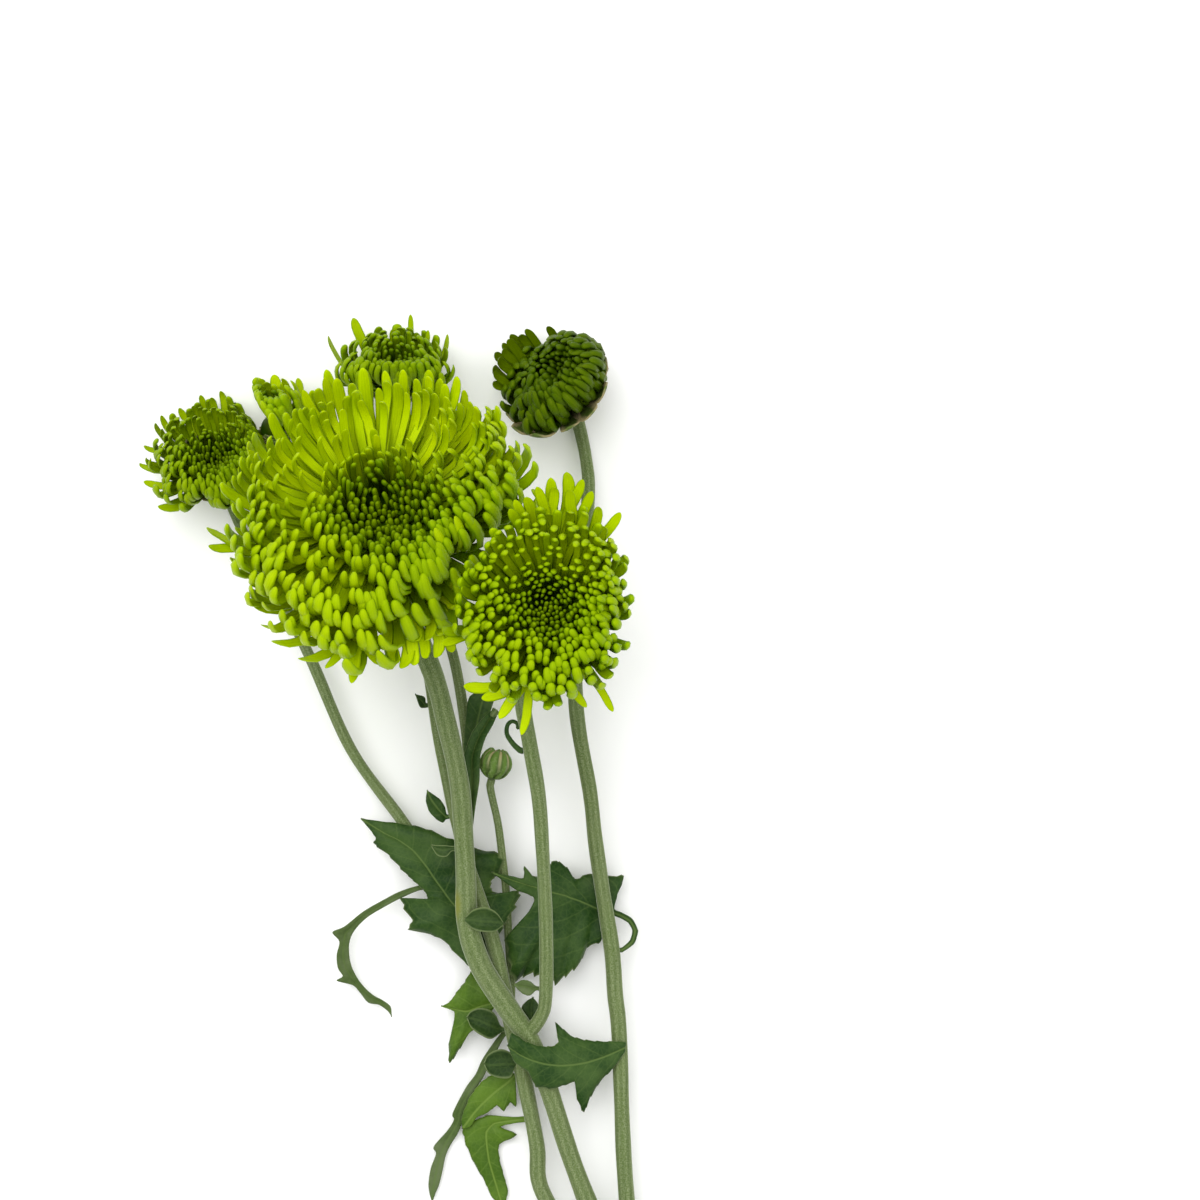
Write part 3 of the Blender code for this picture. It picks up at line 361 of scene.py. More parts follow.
@dataclass(frozen=True)
class LeafFinish:
    """Dark leaf with paler veins above and a grey-green downy underside."""

    name: str
    face: Colour = (0.009, 0.038, 0.002)
    light: Colour = (0.037, 0.080, 0.013)
    vein: Colour = (0.085, 0.140, 0.030)
    under: Colour = (0.075, 0.110, 0.034)
    rim: Colour = (0.17, 0.22, 0.085)
    rim_from: float = 0.955
    midrib: float = 1.0
    vein_pitch: float = 4.6
    vein_slant: float = 46.0
    cell_scale: float = 750.0

    def build(self) -> bpy.types.Material:
        """Builds the nodes; the attribute holds the place across, the length from the stalk, the side and the reach.

        Returns:
            The material.
        """
        graph = Graph(self.name)
        across, along, top, reach = graph.stored("leaf")
        broad = graph.grain(110.0, 4.0)
        fine = graph.grain(2600.0, 2.0)
        cells = graph.node(
            "ShaderNodeTexVoronoi", {"feature": "DISTANCE_TO_EDGE"},
            {"Vector": graph.place(), "Scale": self.cell_scale})
        network = 1 - cells.between(0.0, 0.14)
        sway = (broad - 0.5) * 0.5
        slant = ((along * 100.0 - reach * self.vein_slant) / self.vein_pitch + sway).fraction() - 0.5
        side_veins = (1 - abs(slant).between(0.015, 0.075)) * reach.between(0.002, 0.012)
        midrib = 1 - reach.between(0.003, 0.0085)
        veins = (midrib * self.midrib).larger(side_veins * 0.3 * self.midrib)
        face = graph.mix(broad.between(0.35, 0.68), self.face, self.light)
        netted = graph.mix(network * 0.14, face, self.vein)
        upper = graph.mix(veins * 0.8, netted, self.vein)
        downy = graph.mix(fine.between(0.42, 0.68) * 0.35, self.under, self.rim)
        lower = graph.mix(veins * 0.75, graph.mix(broad.between(0.35, 0.7) * 0.5, downy, self.light), self.rim)
        edged = graph.mix(across.between(self.rim_from, 1.0) * 0.65, graph.mix(top, lower, upper), self.rim)
        height = fine * 0.12 - veins * 0.8 + cells.between(0.0, 0.4) * 0.25
        return graph.surface(
            Base_Color=edged, Roughness=0.52 + fine * 0.14 - top * 0.08, Normal=graph.bump(height, 0.14, 0.75),
            Specular_IOR_Level=0.16, Sheen_Weight=0.04, Sheen_Roughness=0.4)


@dataclass(frozen=True)
class BractFinish:
    """Green bracts that turn brown and papery at their edges."""

    name: str = "calyx_finish"
    body: Colour = (0.060, 0.105, 0.008)
    deep: Colour = (0.030, 0.055, 0.006)
    keel: Colour = (0.12, 0.17, 0.03)
    paper: Colour = (0.36, 0.29, 0.15)
    fleck: Colour = (0.30, 0.30, 0.14)

    def build(self) -> bpy.types.Material:
        """Builds the nodes; the attribute holds the distance from the middle line, the place along and a draw.

        Returns:
            The material.
        """
        graph = Graph(self.name)
        across, along, draw, _ = graph.stored("bract")
        fine = graph.grain(1300.0)
        green = graph.mix(along.between(0.0, 0.9), self.deep, self.body)
        keeled = graph.mix((1 - across.between(0.0, 0.3)) * 0.4, green, self.keel)
        edge = (across * 0.7 + along * 0.5 + draw * 0.2 + fine * 0.25).between(0.74, 1.06)
        papery = graph.mix(edge * 0.85, keeled, self.paper)
        return graph.surface(
            Base_Color=graph.mix(fine.between(0.45, 0.8) * 0.25, papery, self.fleck), Roughness=0.6,
            Normal=graph.bump(fine, 0.08, 0.6), Specular_IOR_Level=0.3)


@dataclass(frozen=True)
class BudFinish:
    """Green ribs with pale, faintly pink seams between them."""

    name: str = "bud_finish"
    rib: Colour = (0.105, 0.19, 0.028)
    seam: Colour = (0.44, 0.42, 0.21)
    blush: Colour = (0.50, 0.36, 0.20)
    down: Colour = (0.36, 0.42, 0.20)

    def build(self) -> bpy.types.Material:
        """Builds the nodes; the attribute holds the rib and the height.

        Returns:
            The material.
        """
        graph = Graph(self.name)
        rib, height, _, _ = graph.stored("bud")
        fine = graph.grain(1100.0)
        broad = graph.grain(420.0, stretch=(1.0, 1.0, 0.5))
        seam = 1 - (rib + broad * 0.3 - 0.15).between(0.02, 0.34)
        pale = graph.mix(height.between(0.6, 0.97), self.seam, self.blush)
        base = graph.mix((rib * 0.6 + height * 0.4).between(0.2, 0.9), tuple(0.5 * c for c in self.rib), self.rib)
        body = graph.mix(seam * height.between(0.2, 0.75) * (0.35 + broad * 0.75), base, pale)
        return graph.surface(
            Base_Color=graph.mix(fine.between(0.45, 0.75) * 0.3, body, self.down), Roughness=0.55,
            Normal=graph.bump(fine, 0.1, 0.7), Specular_IOR_Level=0.2)


@dataclass(frozen=True)
class FloorFinish:
    """Plain pale paper."""

    name: str = "floor_finish"
    darker: Colour = (0.955, 0.955, 0.95)
    paler: Colour = (0.975, 0.975, 0.97)

    def build(self) -> bpy.types.Material:
        """Builds the nodes.

        Returns:
            The material.
        """
        graph = Graph(self.name)
        paper = graph.mix(graph.grain(40.0).between(0.3, 0.7), self.darker, self.paler)
        return graph.surface(Base_Color=paper, Roughness=0.85, Specular_IOR_Level=0.1)


class FloretLook(Enum):
    """How far the florets of a head have turned from green to lime; the half-open look is also darkened with painted
    shade for the top head.
    """

    OPEN = FloretFinish("floret_finish")
    # A darker copy of the open finish: partly the greener colour of less open heads, partly painted shade on the top
    # head where it lies under the big one.
    HALF_OPEN = FloretFinish(
        "half_open_floret_finish", flesh=(0.062, 0.138, 0.0), lime=(0.160, 0.285, 0.0), tip=(0.28, 0.43, 0.001),
        glow=(0.33, 0.48, 0.0), back=(0.17, 0.26, 0.0))
    YOUNG = FloretFinish(
        "young_floret_finish", heart=(0.005, 0.014, 0.0), flesh=(0.022, 0.055, 0.0), lime=(0.05, 0.102, 0.0),
        tip=(0.115, 0.19, 0.0), glow=(0.115, 0.19, 0.0), back=(0.05, 0.095, 0.0))


class LeafLook(Enum):
    """The looks of the leaves."""

    DARK = LeafFinish("leaf_finish")
    # Painted light: a lighter copy of the dark finish for the rolled upright leaves, which lie in shade.
    UPRIGHT = LeafFinish("upright_leaf_finish", face=(0.018, 0.054, 0.006), light=(0.055, 0.100, 0.024))
    # Painted light: a brighter copy of the dark finish, a painted back-light glow for leaves that light shines through.
    BACKLIT = LeafFinish(
        "backlit_leaf_finish", face=(0.040, 0.095, 0.003), light=(0.080, 0.155, 0.010), vein=(0.13, 0.21, 0.03))
    CUPPED = LeafFinish(
        "cupped_leaf_finish", face=(0.011, 0.033, 0.003), light=(0.030, 0.062, 0.011), rim_from=0.84, midrib=0.25)
    GREY = LeafFinish("grey_leaf_finish", face=(0.045, 0.080, 0.014), light=(0.095, 0.130, 0.050), midrib=0.6)


class Slot(Enum):
    """Material slot names."""

    FLORET = "floret"
    YOUNG_FLORET = "young_floret"
    CALYX = "calyx"
    STEM = "stem"
    LEAF = "leaf"
    BUD = "bud"


# ---------------------------------------------------------------- geometry shared by the pieces
def to_frame(points: np.ndarray | Point) -> np.ndarray:
    """Turns layout millimetres into metres in the frame of the solids."""
    return (np.asarray(points, float) - PLAN_CENTRE) * MM


def unit(vector: Point | np.ndarray) -> np.ndarray:
    """The vector, or each vector in the last axis, at length one."""
    vector = np.asarray(vector, float)
    return vector / np.linalg.norm(vector, axis=-1, keepdims=True)


def directions(axis: Point) -> np.ndarray:
    """Works out how something that faces along an axis is turned.

    Args:
        axis: The axis.

    Returns:
        Its right, up and forward directions as rows.
    """
    forward = unit(axis)
    right = unit(np.cross((0.0, 1.0, 0.0), forward))
    return np.array((right, np.cross(forward, right), forward))


def climb(values: np.ndarray, start: float, width: float, least: float = 0.0) -> np.ndarray:
    """A share that climbs from the least at the start to 1 over the width."""
    return np.clip((values - start) / width, least, 1.0)


def toward(turn: np.ndarray, side: float) -> np.ndarray:
    """How far each turn faces a side, from 0 to 1."""
    return np.clip(np.cos(turn - side), 0.0, 1.0)


def run_length(points: np.ndarray) -> np.ndarray:
    """The length of a path, or of each of several, from its start to each of its points."""
    steps = np.linalg.norm(np.diff(points, axis=-2), axis=-1)
    return np.concatenate((np.zeros(steps.shape[:-1] + (1,)), np.cumsum(steps, axis=-1)), axis=-1)


def between_four(a: np.ndarray, b: np.ndarray, c: np.ndarray, d: np.ndarray, t: float | np.ndarray) -> np.ndarray:
    """The point a share t on from b to c along the Catmull-Rom curve through four points."""
    return 0.5 * (2 * b + (c - a) * t + (2 * a - 5 * b + 4 * c - d) * t**2 + (3 * b - a - 3 * c + d) * t**3)


def extended(points: np.ndarray) -> np.ndarray:
    """The points with one more before the first and after the last, in line with them."""
    return np.concatenate(((2 * points[0] - points[1])[None], points, (2 * points[-1] - points[-2])[None]))


def spline_points(points: np.ndarray, spacing: float) -> np.ndarray:
    """Points along a Catmull-Rom curve.

    Args:
        points: The points that it passes, with anything else to blend in further columns.
        spacing: About how far apart the new points are.

    Returns:
        The new points.
    """
    padded = extended(points)
    route = []
    for a, b, c, d in zip(padded, padded[1:], padded[2:], padded[3:]):
        steps = max(1, round(float(np.linalg.norm((c - b)[:3])) / spacing))
        route += [between_four(a, b, c, d, t) for t in np.arange(steps) / steps]
    return np.array(route + [points[-1]])


def bend_along(template: np.ndarray, paths: np.ndarray, sides: np.ndarray, widths: np.ndarray) -> np.ndarray:
    """Bends copies of a template that stands along +Z from 0 to 1 along paths.

    Args:
        template: The vertices for each copy: across, inward and along.
        paths: Path points of each copy, evenly spaced in the template's length.
        sides: The direction across each copy.
        widths: The scale across and inward, one a copy.

    Returns:
        The vertices of every copy.
    """
    steps = paths.shape[1]
    length = template[0, :, 2]
    place = np.clip(length, 0.0, 1.0) * (steps - 1)
    low = np.minimum(place.astype(int), steps - 2)
    share = (place - low)[None, :, None]
    spots = paths[:, low] * (1 - share) + paths[:, low + 1] * share
    tangents = unit(np.gradient(paths, axis=1))
    along = unit(tangents[:, low] * (1 - share) + tangents[:, low + 1] * share)
    across = np.broadcast_to(sides[:, None, :], along.shape)
    across = unit(across - along * np.sum(across * along, axis=-1, keepdims=True))
    scale = widths[:, None, None]
    inward = np.cross(along, across)
    return spots + across * (template[..., 0, None] * scale) + inward * (template[..., 1, None] * scale)


def tube_faces(rings: int, ring: int) -> Faces:
    """The faces of a closed tube.

    Args:
        rings: How many rings of points it has.
        ring: How many points are in each.

    Returns:
        The faces of its wall, and of its two ends last.
    """
    faces = [
        (r * ring + k, r * ring + (k + 1) % ring, (r + 1) * ring + (k + 1) % ring, (r + 1) * ring + k)
        for r in range(rings - 1) for k in range(ring)]
    return faces + [tuple(reversed(range(ring))), tuple(range((rings - 1) * ring, rings * ring))]


def round_tube(
    path: np.ndarray, radii: np.ndarray, side: np.ndarray, other: np.ndarray, turn: np.ndarray,
) -> np.ndarray:
    """Rings of points round a path.

    Args:
        path: The middle of each ring.
        radii: The radius of each ring, or of each of its points.
        side: The direction in which each ring starts.
        other: The direction a quarter turn on.
        turn: The angles of a ring's points.

    Returns:
        The points of every ring.
    """
    return path[:, None, :] + radii[..., None] * (
        np.cos(turn)[None, :, None] * side[:, None, :] + np.sin(turn)[None, :, None] * other[:, None, :])


def tint(*channels: np.ndarray | float) -> np.ndarray:
    """Four channels, stretched to fit each other, as rows of a colour attribute."""
    return np.stack(np.broadcast_arrays(*channels), axis=-1).reshape(-1, 4)


def join(parts: list[Part]) -> Part:
    """Stacks parts into one.

    Args:
        parts: The vertices, faces and colours of each.

    Returns:
        The vertices, faces and colours of all.
    """
    faces, count = [], 0
    for spots, part_faces, _ in parts:
        faces += [tuple(i + count for i in face) for face in part_faces]
        count += len(spots)
    return np.vstack([part[0] for part in parts]), faces, np.vstack([part[2] for part in parts])


def add_primitive(add: Callable, **sizes: object) -> bpy.types.Object:
    """Adds a primitive with nothing else selected.

    Args:
        add: The operator that adds it.
        **sizes: Its settings.

    Returns:
        The new object.
    """
    bpy.ops.object.select_all(action="DESELECT")
    add(**sizes)
    return bpy.context.object


def start_edit(obj: bpy.types.Object) -> None:
    """Opens one object alone in edit mode, with all of it selected.

    Args:
        obj: The object.
    """
    bpy.ops.object.select_all(action="DESELECT")
    bpy.context.view_layer.objects.active = obj
    obj.select_set(True)
    bpy.ops.object.mode_set(mode="EDIT")
    bpy.ops.mesh.select_all(action="SELECT")


def take_template(obj: bpy.types.Object) -> tuple[np.ndarray, Faces]:
    """Reads a modelled shape and removes it.

    Args:
        obj: The modelled object.

    Returns:
        Its vertices and faces.
    """
    bpy.ops.object.mode_set(mode="OBJECT")
    spots = np.array([vertex.co for vertex in obj.data.vertices], float)
    faces = [tuple(face.vertices) for face in obj.data.polygons]
    bpy.data.objects.remove(obj)
    return spots, faces


def make_piece(name: str, points: np.ndarray, faces: Faces, colours: dict[str, np.ndarray]) -> bpy.types.Object:
    """Makes a mesh object at the origin from layout points, held inside the box of the solids.

    Args:
        name: The object's name.
        points: Its vertices in layout millimetres.
        faces: Its faces.
        colours: Colour attributes by name, four values a vertex.

    Returns:
        The object.
    """
    held = np.clip(points, BOX_LOW + BOX_MARGIN, BOX_HIGH - BOX_MARGIN)
    mesh = bpy.data.meshes.new(name)
    mesh.from_pydata(to_frame(held).tolist(), [], faces)
    for key, values in colours.items():
        attribute = mesh.color_attributes.new(key, "FLOAT_COLOR", "POINT")
        attribute.data.foreach_set("color", np.asarray(values, np.float32).ravel())
    mesh.shade_smooth()
    obj = bpy.data.objects.new(name, mesh)
    bpy.context.scene.collection.objects.link(obj)
    return obj


def finish_piece(piece: bpy.types.Object, material: bpy.types.Material, node: str) -> bpy.types.Object:
    """Gives a piece its material and body, and hides the solid that it stands for.

    Args:
        piece: The piece.
        material: Its material.
        node: The solid that it stands for.

    Returns:
        The piece.
    """
    piece.data.materials.append(material)
    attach(piece, "root")
    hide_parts(node)
    log.info("%s: %d faces", piece.name, len(piece.data.polygons))
    return piece


# ---------------------------------------------------------------- flower heads
@dataclass(frozen=True)
class FloretShape:
    """One ray floret: a channelled strap with a hooded, rounded tip. It stands along +Z, with +Y to the head's axis."""

    taper: Profile = (
        (0.0, 0.55), (0.3, 0.78), (0.6, 0.92), (0.8, 1.0), (0.94, 0.98), (0.97, 0.84), (0.99, 0.58), (1.0, 0.26))
    channel: Profile = ((0.0, 0.26), (0.6, 0.24), (0.8, 0.12), (0.9, 0.02), (1.0, 0.0))
    thickness: Profile = ((0.0, 0.12), (0.55, 0.13), (0.8, 0.25), (0.9, 0.34), (1.0, 0.36))
    sides: int = 8
    rings: tuple[float, ...] = (0.18, 0.38, 0.56, 0.7, 0.8, 0.88, 0.94, 0.97, 0.99)

    def build(self) -> tuple[np.ndarray, Faces, np.ndarray]:
        """Models the floret one unit long and wide.

        Returns:
            Its vertices, its faces, and for each vertex the place along, whether it is inside, the place across and
            how near it is to the middle line.
        """
        obj = add_primitive(
            bpy.ops.mesh.primitive_cylinder_add, vertices=self.sides, radius=0.5, depth=1.0, end_fill_type="NGON",
            location=(0, 0, 0.5))
        bpy.ops.object.transform_apply(location=True, rotation=False, scale=False)
        start_edit(obj)
        for share in self.rings:
            bpy.ops.mesh.select_all(action="SELECT")
            bpy.ops.mesh.bisect(plane_co=(0, 0, share), plane_no=(0, 0, 1))
        spots, faces = take_template(obj)
        along = np.clip(spots[:, 2], 0.0, 1.0)
        taper, channel, thickness = (
            np.interp(along, *zip(*profile)) for profile in (self.taper, self.channel, self.thickness))
        turn = np.arctan2(spots[:, 1], spots[:, 0])
        bow = 1 - np.cos(turn) ** 2
        across = np.cos(turn) * taper * 0.5
        inward = np.sin(turn) * thickness * taper - channel * taper * bow
        marks = np.column_stack((along, np.sin(turn) > 0, np.cos(turn) * 0.5 + 0.5, bow))
        return np.column_stack((across, inward, spots[:, 2])), faces, marks


@dataclass(frozen=True)
class Stray:
    """A floret that breaks the spiral rule, by where its tip stands and how it lies; angles are in degrees."""

    turn: float
    reach: float
    lift: float
    lean: float
    veer: float = 0.0
    breadth: float = 0.9


@dataclass
class Head:
    """A flower head, in the same terms as its solid.

    Angles, leans and curls are in degrees; turns, sides and veers are in radians.
    """

    name: str
    centre: Point
    axis: Point
    radius: float
    crown: float
    hollow: float
    core: float
    depth: float
    florets: int
    width: float
    root_angle: float
    tip_angle: float
    calyx: float
    neck: float
    seed: int
    strays: tuple[Stray, ...]
    look: FloretLook = FloretLook.OPEN
    slot: Slot = Slot.FLORET
    hook: float = 1.0
    openness: float = 0.0
    strap_from: float = 0.84
    heart_shift: tuple[float, float] = (0.0, 0.0)
    rim_shift: tuple[float, float] = (0.0, 0.0)
    turned_away: float = 0.0
    cup: float = 0.0

    width_gain: float = 1.6
    open_side: float = math.radians(90)
    open_spread: float = 0.15
    hanging_side: float = math.radians(228)
    hanging_share: float = 0.7
    back_side: float = math.radians(-38)
    left_out: float = 0.38
    heart_lean: float = -20
    crest_share: float = 0.5
    root_spread: float = 0.85
    turn_jitter: float = 0.14
    lean_jitter: float = 16
    width_range: tuple[float, float] = (0.85, 1.12)
    opening_range: tuple[float, float] = (0.45, 0.9)
    reach_range: tuple[float, float] = (0.88, 1.03)
    height_range: tuple[float, float] = (-0.045, 0.035)
    veer_jitter: float = 0.14
    swing: float = 0.03
    tilt_jitter: float = 0.22
    stray_opening: float = 0.7
    stray_swing: float = 0.05
    stray_draw: float = 0.65
    curl_range: tuple[float, float] = (65, 135)
    arc_range: tuple[float, float] = (1.6, 2.7)
    curl_steps: int = 5
    steps: int = 16
    path_points: int = 20
    settling_rounds: int = 30

    def spread(self, shares: np.ndarray) -> np.ndarray:
        """Spreads the tips so that widening florets pack evenly.

        Args:
            shares: The share of the florets that stand further in than each one.

        Returns:
            How far out each tip stands as a share of the radius.
        """
        table = np.linspace(0.0, 1.0, 200)
        growth = 1 + self.width_gain * table
        packed = np.log(growth) + 1 / growth - 1
        return np.interp(shares, packed / packed[-1], table)

    def crest(self, shares: np.ndarray) -> np.ndarray:
        """Shapes the head: a hollow middle, a crest and a falling rim.

        Args:
            shares: How far out each tip stands as a share of the radius.

        Returns:
            The height of each tip over the rim plane.
        """
        rise = np.sin(np.pi / 2 * np.minimum(shares / self.crest_share, 1.0))
        inside = self.crown * (self.hollow + (1 - self.hollow) * rise)
        fall = climb(shares, self.crest_share, 1 - self.crest_share)
        return np.where(shares < self.crest_share, inside, self.crown * np.cos(np.pi / 2 * fall))

    def places(self, draw: np.random.Generator) -> tuple[np.ndarray, ...]:
        """Draws where every floret's tip stands by the spiral rule, and adds the strays.

        Args:
            draw: The generator.

        Returns:
            For each floret the turn, the share of the radius, how open and how parted the head is there, the share
            from the middle, the reach, the height, the lean, the width, the swing and the veer.
        """
        shares = (np.arange(self.florets) + 0.5) / self.florets
        out = self.spread(shares)
        turn = np.arange(self.florets) * GOLDEN_ANGLE + draw.uniform(-self.turn_jitter, self.turn_jitter, self.florets)
        up = np.clip(np.cos(turn - self.open_side) + self.open_spread, 0.0, 1.0) ** 1.2 * self.openness
        hanging = toward(turn, self.hanging_side) ** 3 * self.openness
        parted = np.maximum(up, self.hanging_share * hanging)
        kept = draw.random(self.florets) > self.left_out * parted * climb(out, 0.4, 0.1)
        shares, out, turn, up, parted = (values[kept] for values in (shares, out, turn, up, parted))
        count = len(turn)
        lean = self.heart_lean + (self.tip_angle - self.heart_lean) * out**2
        lean = np.radians(lean + draw.uniform(-self.lean_jitter, self.lean_jitter, count))
        width = self.width * (1 + self.width_gain * out) / (1 + self.width_gain)
        width *= draw.uniform(*self.width_range, count) * (1 - 0.08 * up)
        low = np.clip(-np.sin(turn), 0.0, 1.0) * self.openness
        opening = climb(out, 0.42, 0.14) * draw.uniform(*self.opening_range, count)
        pushed = 1 - (1 - out) * (1 - opening * parted)
        reach = pushed * self.radius * draw.uniform(*self.reach_range, count) * (1 - 0.05 * up * pushed)
        reach *= 1 + 0.09 * low * out
        reach *= 1 - self.turned_away * toward(turn, self.back_side) ** 2 * out
        height = self.crest(out * (1 - up) + pushed * up) + draw.uniform(*self.height_range, count) * self.radius
        height += 0.16 * self.radius * up * np.clip(pushed * 2 - 1, 0, 1)
        lean = lean * (1 - 0.25 * up)
        veer = np.random.default_rng(self.seed + 1).normal(0.0, self.veer_jitter, count)
        side, far, lift, angle, turned, breadth = np.array([astuple(stray) for stray in self.strays]).T
        ones = np.ones(len(side))
        opened = self.stray_opening * ones
        by_rule = (turn, out, up, parted, shares, reach, height, lean, width, np.full(count, self.swing), veer)
        by_hand = (
            np.radians(side), ones, opened, opened, ones, far * self.radius, lift, np.radians(angle),
            self.width * breadth, self.stray_swing * ones, np.radians(turned))
        return tuple(map(np.append, by_rule, by_hand))

    def paths(self) -> dict[str, np.ndarray]:
        """Draws every floret.

        Returns:
            The path, side direction, width, share from the middle, draw and openness of every floret.
        """
        draw = np.random.default_rng(self.seed)
        turn, out, up, parted, shares, reach, height, lean, width, swing, veer = self.places(draw)
        count = len(turn)
        spin = np.column_stack((np.cos(turn), np.sin(turn), np.zeros(count)))
        foot = self.root_spread * np.sqrt(shares)
        tip = spin * reach[:, None] + RISE * height[:, None]
        tip[:, :2] += np.array(self.heart_shift) * (1 - out**2)[:, None] + np.array(self.rim_shift) * (out**2)[:, None]
        tip = self.settled(tip, width)
        spin = unit(tip * (1.0, 1.0, 0.0))
        sideways = np.cross(RISE, spin)
        root = spin * (foot * self.core)[:, None] + RISE * (self.depth * (np.sqrt(1 - foot**2) - 1) - 1.0)[:, None]
        length = np.linalg.norm(tip - root, axis=1)
        root_lean = np.radians(self.root_angle) * shares**0.7
        start = (spin * np.sin(root_lean)[:, None] + RISE * np.cos(root_lean)[:, None]) * (0.45 * length)[:, None]
        aim = spin * np.cos(veer)[:, None] + sideways * np.sin(veer)[:, None]
        end = (aim * np.sin(lean)[:, None] + RISE * np.cos(lean)[:, None]) * (0.35 * length)[:, None]
        t = np.linspace(0.0, 1.0, self.steps)[None, :, None]
        weights = ((1 - t)**3, 3 * t * (1 - t)**2, 3 * t**2 * (1 - t), t**3)
        path = sum(w * h[:, None, :] for w, h in zip(weights, (root, root + start, tip - end, tip)))
        sway = draw.normal(0.0, 1.0, (count, 1, 1)) * sideways[:, None, :]
        path = path + sway * (np.sin(np.pi * t) * (swing * length)[:, None, None])
        path = self.hooked(path, aim, lean, width, out, up, draw)
        middle = ((root_lean + lean) / 2)[:, None]
        inward = spin * -np.cos(middle) + RISE * np.sin(middle)
        sides = unit(sideways + inward * draw.normal(0.0, self.tilt_jitter, count)[:, None])
        drawn = draw.random(count)
        drawn[-len(self.strays):] = self.stray_draw
        return {
            "path": path, "side": sides, "width": width, "out": np.clip(out, 0, 1), "draw": drawn,
            "up": np.maximum(up, parted) * climb(out, 0.3, 0.12)}

    def settled(self, tips: np.ndarray, width: np.ndarray) -> np.ndarray:
        """Moves crowded tips apart, mostly within the head's surface.

        Args:
            tips: The place of every tip.
            width: The width of every floret.

        Returns:
            The places after settling.
        """
        wanted = 0.5 * (width[:, None] + width[None, :])
        for _ in range(self.settling_rounds):
            gap = tips[:, None, :] - tips[None, :, :]
            far = np.linalg.norm(gap, axis=2) + np.eye(len(tips)) * self.radius
            push = np.clip(wanted - far, 0.0, None) / far * 0.3
            tips = tips + np.sum(gap * push[..., None], axis=1) * (1.0, 1.0, 0.3)
        return tips

    def hooked(
        self, path: np.ndarray, aim: np.ndarray, lean: np.ndarray, width: np.ndarray, out: np.ndarray,
        up: np.ndarray, draw: np.random.Generator,
    ) -> np.ndarray:
        """Curls the end of every path towards the head's axis.

        Args:
            path: The straight-ended paths.
            aim: The direction away from the axis that the end of each takes.
            lean: The angle from the axis at each tip.
            width: The width of each floret.
            out: How far out each stands.
            up: How open each lies.
            draw: The generator.

        Returns:
            The paths with the curl in their last quarter, of the same length.
        """
        count = len(path)
        grown = climb(out, 0.2, 0.5, 0.12)
        relaxed = 1 - 0.5 * climb(out, 0.8, 0.2) * draw.random(count)
        curl = np.radians(draw.uniform(*self.curl_range, count)) * self.hook * (1 - 0.7 * up) * grown * relaxed
        arc = width * draw.uniform(*self.arc_range, count) * (0.4 + 0.6 * grown)
        angle = lean[:, None] - curl[:, None] * np.linspace(0.0, 1.0, self.curl_steps + 1)
        heading = np.sin(angle)[..., None] * aim[:, None, :] + np.cos(angle)[..., None] * RISE
        trail = np.cumsum(heading[:, :-1] * (arc / self.curl_steps)[:, None, None], axis=1)
        back = heading[:, :1] * (arc * 0.62)[:, None, None]
        eased = path - back * np.linspace(0, 1, path.shape[1])[:, None] ** 2
        full = np.concatenate((eased, path[:, -1:] - back + trail), axis=1)
        wanted = np.linspace(0.0, 1.0, self.path_points)
        return np.array([
            np.column_stack([np.interp(wanted * run[-1], run, line[:, k]) for k in range(3)])
            for run, line in zip(run_length(full), full)])


@dataclass
class Border:
    """The plane that parts the florets of two crowded heads; its direction leads out of the first one."""

    first: str
    second: str
    point: Point
    outward: Point


